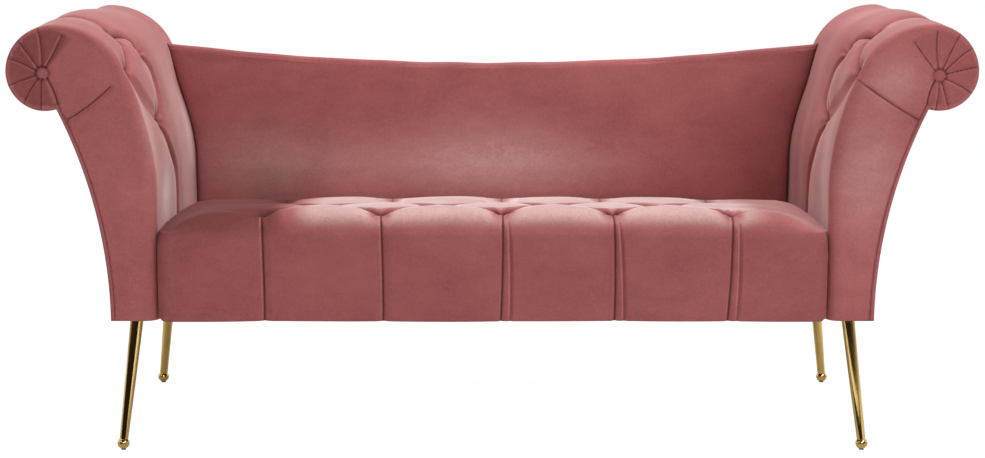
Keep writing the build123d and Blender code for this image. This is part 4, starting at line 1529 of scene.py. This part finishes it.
    def cover(self) -> bpy.types.Object:
        """Quilted velvet of the seat.

        Returns:
            The piece.
        """
        line = spaced(self.profile(), self.step)
        reach, out = lengths_of(line), normals_of(line)
        xs = self.columns()
        grid_x, grid_s = np.meshgrid(xs, reach, indexing="ij")
        rise, dark = self.quilt(reach, line).shape(np.column_stack((grid_x.ravel(), grid_s.ravel())))
        rise, dark = rise.reshape(grid_x.shape), dark.reshape(grid_x.shape)
        # Painted highlight over the top, darker left end and painted shade down the front
        dark = dark + self.nap(grid_x, line, rise) * (1 - np.abs(dark))
        rise = rise + self.lump * ripple(grid_x, grid_s, self.lump_width, seed=21)
        gap = self.half - np.abs(grid_x)
        ends = np.clip(gap / self.end_calm, 0, 1) * np.clip((reach[-1] - grid_s) / self.rear_calm, 0.2, 1)
        rise *= ends * (0.6 + 0.4 * np.clip(grid_s / 20.0, 0, 1))
        y = line[None, :, 0] + out[None, :, 0] * rise
        z = line[None, :, 1] + out[None, :, 1] * rise
        top = np.clip((line[:, 1] - self.underside) / (self.height - self.underside), 0, 1)
        z = z - self.side_drop(grid_x) * self.from_crest(line, top)
        z = z - bell(gap, self.end_width) * np.maximum(0.0, z - self.end_height)
        inset, width = self.end_round
        y = y + inset * np.clip(1 - gap / width, 0, 1) ** 2 * (grid_s < self.front_reach)
        wide, tall = self.corner_size
        corner = np.clip(1 - gap / wide, 0, 1) ** 2 * np.clip(1 - grid_s / tall, 0, 1)
        hem = 0.6 * ripple(grid_x, grid_s * 0, 260.0, seed=23) * (grid_s < 1)
        z = np.maximum(z + self.corner_lift * corner, self.underside) + hem
        inner = self.lining(xs)
        rows = np.concatenate((np.stack((grid_x, y, z), axis=-1), inner), axis=1)
        marks = np.concatenate((dark, np.zeros(inner.shape[:2])), axis=1)
        mesh = Mesh()
        mesh.add(rows.reshape(-1, 3), grid_quads(len(xs), rows.shape[1]), marks.ravel())
        for row in (rows[0], rows[-1]):
            mesh.close(row, 0)
        return mesh.piece("seat_cushion", self.velvet)

    @staticmethod
    def from_crest(line: np.ndarray, share: np.ndarray) -> np.ndarray:
        """A share along the profile that is whole from the highest point to the back."""
        return np.where(np.arange(len(line)) > int(np.argmax(line[:, 1])), 1.0, share)[None, :]

    def nap(self, x: np.ndarray, line: np.ndarray, rise: np.ndarray) -> np.ndarray:
        """How the velvet is painted: pale over the top as painted highlight, darker at the left end, and
        painted shade down the front.

        Args:
            x: Places across the seat.
            line: The profile.
            rise: Height of the quilting.

        Returns:
            Painted shade, which below zero is painted highlight.
        """
        top = self.from_crest(line, ramp(line[:, 1], *self.pale_run))
        inner = ramp(x - self.pleat_xs[0], *self.left_run)
        outer = ramp(x - self.pleat_xs[-1], *self.right_run)
        pale = ramp(rise, *self.pale_rise) * inner * (1 - self.right_loss * outer)
        return top * (self.left_shade * (1 - inner) - self.top_shade * pale) + self.front_shade * (1 - top)

    def lining(self, xs: np.ndarray) -> np.ndarray:
        """Underside of the cover, over the foam and behind the front wall.

        Args:
            xs: Places across the seat.

        Returns:
            Points, across the seat and then from the back to the front.
        """
        wall_y = self.front + self.bulge + self.wall
        ys = np.linspace(self.rear, wall_y, self.lining_rows)
        run = self.rear - self.crest
        under = self.cad_top - self.cad_drop * (np.maximum(0.0, ys - self.crest) / run) ** 2 - self.thickness
        least = self.top(ys)[None, :] - self.side_drop(xs)[:, None] - self.least_cover
        under = np.minimum(under[None, :], least)
        sheet = np.stack((*np.meshgrid(xs, ys, indexing="ij"), under), axis=-1)
        foot = np.stack((xs, np.full(len(xs), wall_y), np.full(len(xs), self.underside)), axis=-1)[:, None, :]
        return np.concatenate((sheet, foot), axis=1)

    def build(self) -> None:
        cover = self.cover()
        declare(cover, "velvet", "seat_cover")


@dataclass
class Back:
    """Low back with its hollow top edge."""

    velvet: bpy.types.Material
    arm: ArmShape = field(default_factory=ArmShape)
    span: float = 640.0
    face: float = 222.0
    rear: float = 319.6
    panel_rear: float = 325.0
    base: float = 345.0
    end_height: float = 696.0
    middle_height: float = 657.0
    recline: float = 18.0
    seat_height: float = 450.0
    front_radius: float = 8.0
    rear_radius: float = 8.0
    crest_lift: float = 3.0
    top_fall: float = 12.0
    puff: float = 6.0
    puff_run: Point2 = (60.0, 270.0)
    lump: float = 2.0
    lump_width: float = 260.0
    end_calm: float = 70.0
    tuck: Point2 = (9.0, 9.0)
    # Width of the painted shade at the ends, where the back meets the arms
    seam_width: float = 3.5
    rear_calm: float = 30.0
    edge_lump: float = 0.9
    edge_lump_width: float = 150.0
    slices: int = 241
    skin: float = 24.5
    # Patches of painted highlight below zero, and a band of painted shade under the top edge
    nap: tuple[Patch, ...] = (
        Patch((0.0, 450.0), (340.0, 75.0), -0.74), Patch((0.0, 545.0), (230.0, 80.0), -0.28),
        Patch((-470.0, 460.0), (190.0, 110.0), -0.54), Patch((0.0, 690.0), (900.0, 18.0), 0.15),
    )

    def top(self, x: np.ndarray) -> np.ndarray:
        """Height of the top edge at a distance from the middle.

        Args:
            x: Distances from the middle.

        Returns:
            One height for each distance.
        """
        half = float(self.arm.face_x(np.array([self.end_height]))[0])
        rise = self.end_height - self.middle_height
        radius = (half**2 + rise**2) / (2 * rise)
        return self.middle_height + radius - np.sqrt(radius**2 - np.asarray(x, float) ** 2)

    def front(self, z: np.ndarray) -> np.ndarray:
        """Depth of the leaning front face at a height."""
        slope = self.recline / (self.middle_height - self.seat_height)
        return self.face + slope * np.maximum(0.0, z - self.seat_height)

    def column(self, share: float) -> tuple[np.ndarray, np.ndarray]:
        """One upright slice of the cover.

        Args:
            share: Place between the arms, from -1 to 1.

        Returns:
            Points of the closed slice, and its painted shade at each: darker at the ends by the arms, with
            patches of painted highlight and painted shade.
        """
        middle = share * self.span
        high = float(self.top(np.array([middle]))[0]) + self.crest_lift
        low = high - self.top_fall
        zs = np.linspace(self.base, high - self.front_radius, 74)
        lead = np.column_stack((self.front(zs), zs))
        lip = float(self.front(np.array([high]))[0])
        front, rear = self.front_radius, self.rear_radius
        near = turned((lip + front, high - front), front, np.linspace(180, 90, 14))
        far = turned((self.rear - rear, low - rear), rear, np.linspace(90, 0, 10))
        flat = near[-1] + (far[0] - near[-1]) * np.linspace(0, 1, 8)[1:-1, None]
        outside = np.vstack((lead, near[1:], flat, far))
        end = (1 - abs(share)) * self.span
        below, tall = self.puff_run
        bulge = np.sin(np.clip((outside[:, 1] - self.seat_height + below) / tall, 0, 1) * math.pi) ** 0.7
        across = np.full(len(outside), middle)
        swell = self.puff * bulge + self.lump * ripple(across, outside[:, 1], self.lump_width, seed=31)
        tuck, width = self.tuck
        swell = swell * (1 - bell(end, self.end_calm, 1.2)) - tuck * bell(end, width, 1.2)
        ahead = self.rear - self.rear_calm - outside[:, 0]
        outside[:, 0] -= swell * np.clip(ahead / self.rear_calm, 0, 1)
        wave = self.edge_lump * ripple(across, np.zeros(len(outside)), self.edge_lump_width, seed=41)
        outside[:, 1] += wave * (outside[:, 1] > high - self.front_radius)
        inner_top = high - self.skin - self.crest_lift
        inside = np.array([
            (self.rear, inner_top), (lip + self.skin + 3, inner_top),
            (self.face + self.skin, self.seat_height), (self.face + self.skin, self.base),
        ])
        loop = np.vstack((outside, inside))
        slim = self.arm.slimming(loop[:, 0] - self.arm.front) * self.arm.upper(loop[:, 1])
        half = self.arm.face_x(np.clip(loop[:, 1], 260, 780)) + 1.1 * slim - 0.7
        points = np.column_stack((share * half, loop))
        # Painted shade at the ends by the arms, then patches of painted highlight and painted shade
        seam = np.full(len(outside), 0.9 * bell(end, self.seam_width))
        marks = np.concatenate((brushed(seam, points[:len(outside), ::2], self.nap), np.zeros(len(inside))))
        return points, marks

    def cover(self) -> bpy.types.Object:
        """Padded velvet over the front and the top edge.

        Returns:
            The piece.
        """
        inner = np.linspace(-1, 1, self.slices)
        near_end = 1 - np.array((0.0, 0.0015, 0.003, 0.005, 0.0075, 0.011, 0.015))
        shares = np.unique(np.concatenate((inner, near_end, -near_end)))
        rows, marks = zip(*(self.column(float(s)) for s in shares))
        count = len(rows[0])
        mesh = Mesh()
        mesh.add(np.vstack(rows), grid_quads(len(rows), count), np.concatenate(marks))
        for points in (rows[0], rows[-1]):
            flat, triangles = filled(points[:, 1:], None)
            if len(flat) == count:
                mesh.add(points, triangles)
        return mesh.piece("back_cushion", self.velvet)

    def outer_panel(self) -> bpy.types.Object:
        """Rear cover of the back, slightly stuffed.

        Returns:
            The piece.
        """
        zs = np.linspace(self.arm.underside, self.end_height, 70)
        upper = self.arm.upper(zs)
        wide = self.arm.face_x(zs) + 1.05 * (self.arm.rear_slim * upper) - 0.6
        side = np.column_stack((wide, zs - self.top_fall * upper))
        half = side[-1, 0]
        xs = np.linspace(half, -half, 120)[1:-1]
        edge = self.top(xs) - self.top_fall - 5.0
        ring = np.vstack((side, np.column_stack((xs, edge)), side[::-1] * (-1, 1)))
        floor = np.linspace(-side[0, 0], side[0, 0], 110)[1:-1]
        ring = np.vstack((ring, np.column_stack((floor, np.full(len(floor), self.arm.underside)))))
        mesh = stuffed_panel(ring, self.rear + 0.5, self.panel_rear, puff=4.0, step=14.0)
        return mesh.piece("back_rear_panel", self.velvet)

    def build(self) -> None:
        cover = self.cover()
        declare(cover, "velvet", "back_cover")
        declare(self.outer_panel(), "velvet", "back_outer_panel")


@dataclass
class SeamStitches:
    """Hand stitches along the seam between each arm's front face and its outer panel."""

    thread: bpy.types.Material
    shape: ArmShape = field(default_factory=ArmShape)
    spacing: float = 6.0
    length: float = 5.4
    radius: float = 0.5

    def tree(self) -> bpy.types.GeometryNodeTree:
        """Node tree that lays a stitch at even steps along a curve.

        Returns:
            The tree, with named inputs for its sizes.
        """
        tree = bpy.data.node_groups.new("seam_stitches", "GeometryNodeTree")
        tree.interface.new_socket("Geometry", in_out="INPUT", socket_type="NodeSocketGeometry")
        for name in ("Spacing", "Length", "Radius"):
            tree.interface.new_socket(name, in_out="INPUT", socket_type="NodeSocketFloat")
        tree.interface.new_socket("Geometry", in_out="OUTPUT", socket_type="NodeSocketGeometry")
        make = tree.nodes.new
        source, target = make("NodeGroupInput"), make("NodeGroupOutput")
        places = make("GeometryNodeCurveToPoints")
        places.mode = "LENGTH"
        stitch = make("GeometryNodeMeshCylinder")
        stitch.inputs["Vertices"].default_value = 6
        turn = make("FunctionNodeAlignRotationToVector")
        turn.axis = "Z"
        lay, real, paint = (
            make(f"GeometryNode{kind}") for kind in ("InstanceOnPoints", "RealizeInstances", "SetMaterial")
        )
        paint.inputs["Material"].default_value = self.thread
        links = (
            (source, "Geometry", places, "Curve"), (source, "Spacing", places, "Length"),
            (source, "Length", stitch, "Depth"), (source, "Radius", stitch, "Radius"),
            (places, "Tangent", turn, "Vector"), (places, "Points", lay, "Points"),
            (stitch, "Mesh", lay, "Instance"), (turn, "Rotation", lay, "Rotation"),
            (lay, "Instances", real, "Geometry"), (real, "Geometry", paint, "Geometry"),
            (paint, "Geometry", target, "Geometry"),
        )
        for giver, output, taker, entry in links:
            tree.links.new(giver.outputs[output], taker.inputs[entry])
        return tree

    def build(self) -> None:
        curve = bpy.data.curves.new("seam_line", "CURVE")
        curve.dimensions = "3D"
        line = spaced(self.shape.outer(self.shape.panel), 6.0)[2:-2]
        for side in Side:
            spline = curve.splines.new("POLY")
            spline.points.add(len(line) - 1)
            for point, (x, z) in zip(spline.points, line):
                point.co = (side.value * x * MM, (self.shape.front - 0.1) * MM, z * MM, 1.0)
        maker = placed("seam_line", curve)
        modifier = maker.modifiers.new("stitches", "NODES")
        modifier.node_group = self.tree()
        sizes = {"Spacing": self.spacing, "Length": self.length, "Radius": self.radius}
        for item in modifier.node_group.interface.items_tree:
            if item.in_out == "INPUT" and item.name in sizes:
                modifier[item.identifier] = sizes[item.name] * MM
        view = bpy.context.evaluated_depsgraph_get()
        view.update()
        data = bpy.data.meshes.new_from_object(maker.evaluated_get(view))
        maker.modifiers.remove(modifier)
        bpy.data.objects.remove(maker)
        data.name = "seam_stitches"
        piece = placed("seam_stitches", data)
        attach(piece, "root")
        log.info("piece seam_stitches, %d faces", len(data.polygons))


def declare(piece: bpy.types.Object, slot: str, *nodes: str) -> None:
    """Puts a piece on the body in place of its CAD nodes.

    Args:
        piece: The finished piece.
        slot: Material slot of the record; not used.
        nodes: CAD nodes that it stands for.
    """
    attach(piece, "root")
    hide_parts(*nodes)
    log.info("piece %s, %d faces", piece.name, len(piece.data.polygons))


@dataclass
class Framework:
    """Finishes of the CAD pieces that keep their own shape."""

    slots: dict[str, Any] = field(default_factory=lambda: {
        "foam": Cloth("cream_foam", (0.78, 0.70, 0.50), (0.66, 0.57, 0.38), 900.0, 0.0008),
        "felt": Cloth("grey_felt", (0.20, 0.19, 0.18), (0.11, 0.10, 0.10), 700.0, 0.0010),
        "cord": Cloth("tufting_cord", (0.52, 0.44, 0.30), (0.38, 0.31, 0.20), 1500.0, 0.0004),
        "lining": Cloth("black_lining", (0.020, 0.020, 0.022), (0.008, 0.008, 0.009), 1400.0, 0.0004),
        "fibreboard": Timber(
            "brown_hardboard", (0.24, 0.13, 0.06), (0.15, 0.08, 0.035), Grain.ALONG_X, 500.0
        ),
        "spring_steel": Steel("oiled_spring_wire", (0.20, 0.20, 0.21), (0.10, 0.10, 0.11), 0.35),
        "zinc_steel": Steel("bright_zinc", (0.60, 0.61, 0.62), (0.45, 0.46, 0.48), 0.28),
        "brass": Brass(),
        "nylon": Nylon(),
    })
    beech: tuple[Colour, Colour] = ((0.55, 0.36, 0.19), (0.40, 0.24, 0.11))
    birch: tuple[Colour, Colour] = ((0.66, 0.49, 0.29), (0.52, 0.36, 0.19))

    def grain_of(self, node: str) -> Grain:
        """Longest direction of a node, which its grain follows.

        Args:
            node: Name of the CAD node.

        Returns:
            The direction.
        """
        low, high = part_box(node)
        sizes = [b - a for a, b in zip(low, high)]
        return list(Grain)[int(np.argmax(sizes))]

    def finish_for(self, node: str, slot: str) -> Any:
        """Chooses the finish of a node.

        Args:
            node: Name of the CAD node.
            slot: Its material slot.

        Returns:
            The finish.
        """
        if slot in ("hardwood", "plywood"):
            light, dark = self.beech if slot == "hardwood" else self.birch
            grain = self.grain_of(node)
            return Timber(f"{slot}_{grain.name.lower()}", light, dark, grain)
        if node.endswith("rear_leg"):
            return Brass("satin_brass", polish=0.36)
        return self.slots[slot]

    def build(self, velvet: bpy.types.Material) -> None:
        """Dresses every CAD node.

        Args:
            velvet: Finish of the covered nodes, which the padded pieces stand for.
        """
        ready: dict[str, bpy.types.Material] = {}
        slots = {item["node"]: item["material_slot"] for item in frame["record"]["subparts"]}
        for node, thing in frame["nodes"].items():
            slot = slots[node]
            if slot == "velvet":
                material = velvet
            else:
                finish = self.finish_for(node, slot)
                if finish.name not in ready:
                    ready[finish.name] = finish.build()
                material = ready[finish.name]
            thing.data.materials.clear()
            thing.data.materials.append(material)
        log.info("dressed %d nodes with %d finishes", len(frame["nodes"]), len(ready) + 1)


@dataclass(frozen=True)
class Lamp:
    """A soft box that hangs at a place, in metres, and faces a point; its power is in watts."""

    name: str
    place: tuple[float, float, float]
    aim: tuple[float, float, float]
    size: Point2
    power: float

    def build(self) -> None:
        """Hangs the lamp."""
        data = bpy.data.lights.new(self.name, "AREA")
        data.shape, data.energy = "RECTANGLE", self.power
        data.size, data.size_y = self.size
        lamp = placed(self.name, data)
        lamp.location = self.place
        lamp.rotation_euler = (Vector(self.aim) - Vector(self.place)).to_track_quat("-Z", "Y").to_euler()


@dataclass
class Studio:
    """Floor, light and camera."""

    lamps: tuple[Lamp, ...] = (
        Lamp("key", (2.2, -2.4, 2.3), (0.1, 0.0, 0.45), (1.4, 1.2), 38.0),
        Lamp("fill", (-2.6, -2.0, 1.7), (0.0, 0.0, 0.45), (1.6, 1.2), 7.0),
        Lamp("front", (0.4, -5.0, 1.9), (0.0, 0.0, 0.5), (2.4, 1.2), 60.0),
        Lamp("top", (0.0, 0.3, 2.6), (0.0, 0.0, 0.4), (2.4, 1.0), 56.0),
    )
    lens: float = 80.26
    camera_height: float = 1.126
    camera_distance: float = 4.167
    pitch: float = 10.36
    fill: float = 0.34
    dark_front: float = 0.03
    leg_x: float = 0.67
    leg_y: float = -0.25
    strip_slant: float = 0.87
    strip_gap: float = 0.1
    front_fade: Point2 = (-0.35, 0.05)
    floor_half: float = 30.0
    glow: float = 1.10
    glow_share: float = 0.88

    def floor(self) -> None:
        """Pale floor that keeps a faint shadow and runs out to white."""
        graph = Graph("pale_floor")
        path = graph.node("ShaderNodeLightPath", out="Is Camera Ray")
        grain = graph.noise(3.0, 2.0)
        tint = graph.mix(grain, (0.93, 0.93, 0.93), (0.96, 0.96, 0.96))
        matt = graph.node("ShaderNodeBsdfDiffuse", sockets={"Color": tint})
        glow = graph.node("ShaderNodeEmission", sockets={"Color": (1.0, 1.0, 1.0), "Strength": self.glow})
        both = graph.node("ShaderNodeMixShader", sockets={0: path * self.glow_share, 1: matt, 2: glow})
        flagged = graph.node("ShaderNodeLightPath", out="Is Glossy Ray") * self.dark_strips(graph)
        dim = graph.node("ShaderNodeEmission", sockets={"Color": (0.02, 0.015, 0.012), "Strength": 1.0})
        both = graph.node("ShaderNodeMixShader", sockets={0: flagged, 1: both, 2: dim})
        graph.end(both)
        data = bpy.data.meshes.new("floor")
        half = self.floor_half
        corners = [(-half, -half, 0), (half, -half, 0), (half, half, 0), (-half, half, 0)]
        data.from_pydata(corners, [], [(0, 1, 2, 3)])
        data.materials.append(graph.material)
        floor = placed("floor", data)

    def dark_strips(self, graph: Graph) -> Value:
        """Floor in front of each front leg that polished metal mirrors as dark.

        Args:
            graph: Material of the floor.

        Returns:
            1 on the dark strips and 0 elsewhere.
        """
        across = graph.node("ShaderNodeSeparateXYZ", sockets={0: graph.coords}, out="X")
        ahead = graph.node("ShaderNodeSeparateXYZ", sockets={0: graph.coords}, out="Y")
        slant = across + (ahead - self.leg_y) * self.strip_slant
        left = graph.math("LESS_THAN", slant, -self.leg_x)
        right = graph.math("LESS_THAN", slant, self.leg_x) * graph.math("GREATER_THAN", slant, 0.0)
        return (left + right) * graph.math("LESS_THAN", ahead, self.leg_y - self.strip_gap)

    def world(self) -> None:
        """White surroundings for the camera and for reflections, and a soft fill."""
        world = bpy.data.worlds.new("studio")
        bpy.context.scene.world = world
        world.use_nodes = True
        tree = world.node_tree
        tree.nodes.clear()

        def background(strength: float) -> bpy.types.Node:
            """Even surroundings, a little warm where they are dimmer than white.

            Args:
                strength: Their brightness.

            Returns:
                The node.
            """
            node = tree.nodes.new("ShaderNodeBackground")
            node.inputs["Color"].default_value = (1.0, 0.985, 0.97, 1.0) if strength < 1 else (1, 1, 1, 1)
            node.inputs["Strength"].default_value = strength
            return node

        def blend(factor: bpy.types.NodeSocket, a: bpy.types.Node, b: bpy.types.Node) -> bpy.types.Node:
            """Mixes two surroundings by the share of the second.

            Args:
                factor: Share of the second.
                a: First surroundings.
                b: Second surroundings.

            Returns:
                The node.
            """
            node = tree.nodes.new("ShaderNodeMixShader")
            for socket, source in zip(node.inputs, (factor, a.outputs[0], b.outputs[0])):
                tree.links.new(source, socket)
            return node

        paths, place = tree.nodes.new("ShaderNodeLightPath"), tree.nodes.new("ShaderNodeTexCoord")
        split, front = tree.nodes.new("ShaderNodeSeparateXYZ"), tree.nodes.new("ShaderNodeMapRange")
        tree.links.new(place.outputs["Generated"], split.inputs[0])
        tree.links.new(split.outputs["Y"], front.inputs["Value"])
        front.inputs["From Min"].default_value, front.inputs["From Max"].default_value = self.front_fade
        mirror = blend(front.outputs[0], background(self.dark_front), background(1.0))
        soft = blend(paths.outputs["Is Glossy Ray"], background(self.fill), mirror)
        seen = blend(paths.outputs["Is Camera Ray"], soft, background(1.0))
        out = tree.nodes.new("ShaderNodeOutputWorld")
        tree.links.new(seen.outputs[0], out.inputs[0])

    def camera(self) -> None:
        """Camera at the photograph's place."""
        data = bpy.data.cameras.new("camera")
        data.lens, data.sensor_width, data.clip_end = self.lens, 36.0, 100.0
        camera = placed("camera", data)
        camera.location = (0.0, -self.camera_distance, self.camera_height)
        camera.rotation_euler = (math.radians(90 - self.pitch), 0.0, 0.0)
        bpy.context.scene.camera = camera

    def build(self) -> None:
        """Sets up the studio."""
        bpy.context.scene.view_settings.view_transform = "Standard"
        self.floor()
        self.world()
        for lamp in self.lamps:
            lamp.build()
        self.camera()


def main() -> None:
    """Builds the settee and its studio."""
    logging.basicConfig(level=logging.INFO, format="%(message)s")
    velvet = Velvet().build()
    Framework().build(velvet)
    Seat(velvet).build()
    # The left arm gets heavier painted shade on its scroll and its own patches of painted highlight and shade
    Arm(
        Side.LEFT, velvet, pleat_angles=(122, 86, 52, 20, -22, -58, -84), button=(792.0, 701.0),
        dart=((674.0, 676.0), (751.0, 618.0)), scroll_shade=0.40,
        face_nap=(Patch((665.0, 520.0), (80.0, 130.0), -0.12),),
        wrap_nap=(
            Patch((205.0, 140.0), (50.0, 60.0), -0.45), Patch((276.0, 500.0), (70.0, 50.0), -0.35),
            Patch((330.0, 30.0), (80.0, 40.0), -0.40), Patch((230.0, 300.0), (260.0, 400.0), -0.33),
            Patch((620.0, 300.0), (110.0, 400.0), -0.12),
        ),
    ).build()
    Arm(Side.RIGHT, velvet).build()
    Back(velvet).build()
    thread = Cloth("rose_thread", (0.20, 0.06, 0.06), (0.12, 0.03, 0.035), 2500.0, 0.0001)
    SeamStitches(thread.build()).build()
    Studio().build()


if __name__ == "__main__":
    main()
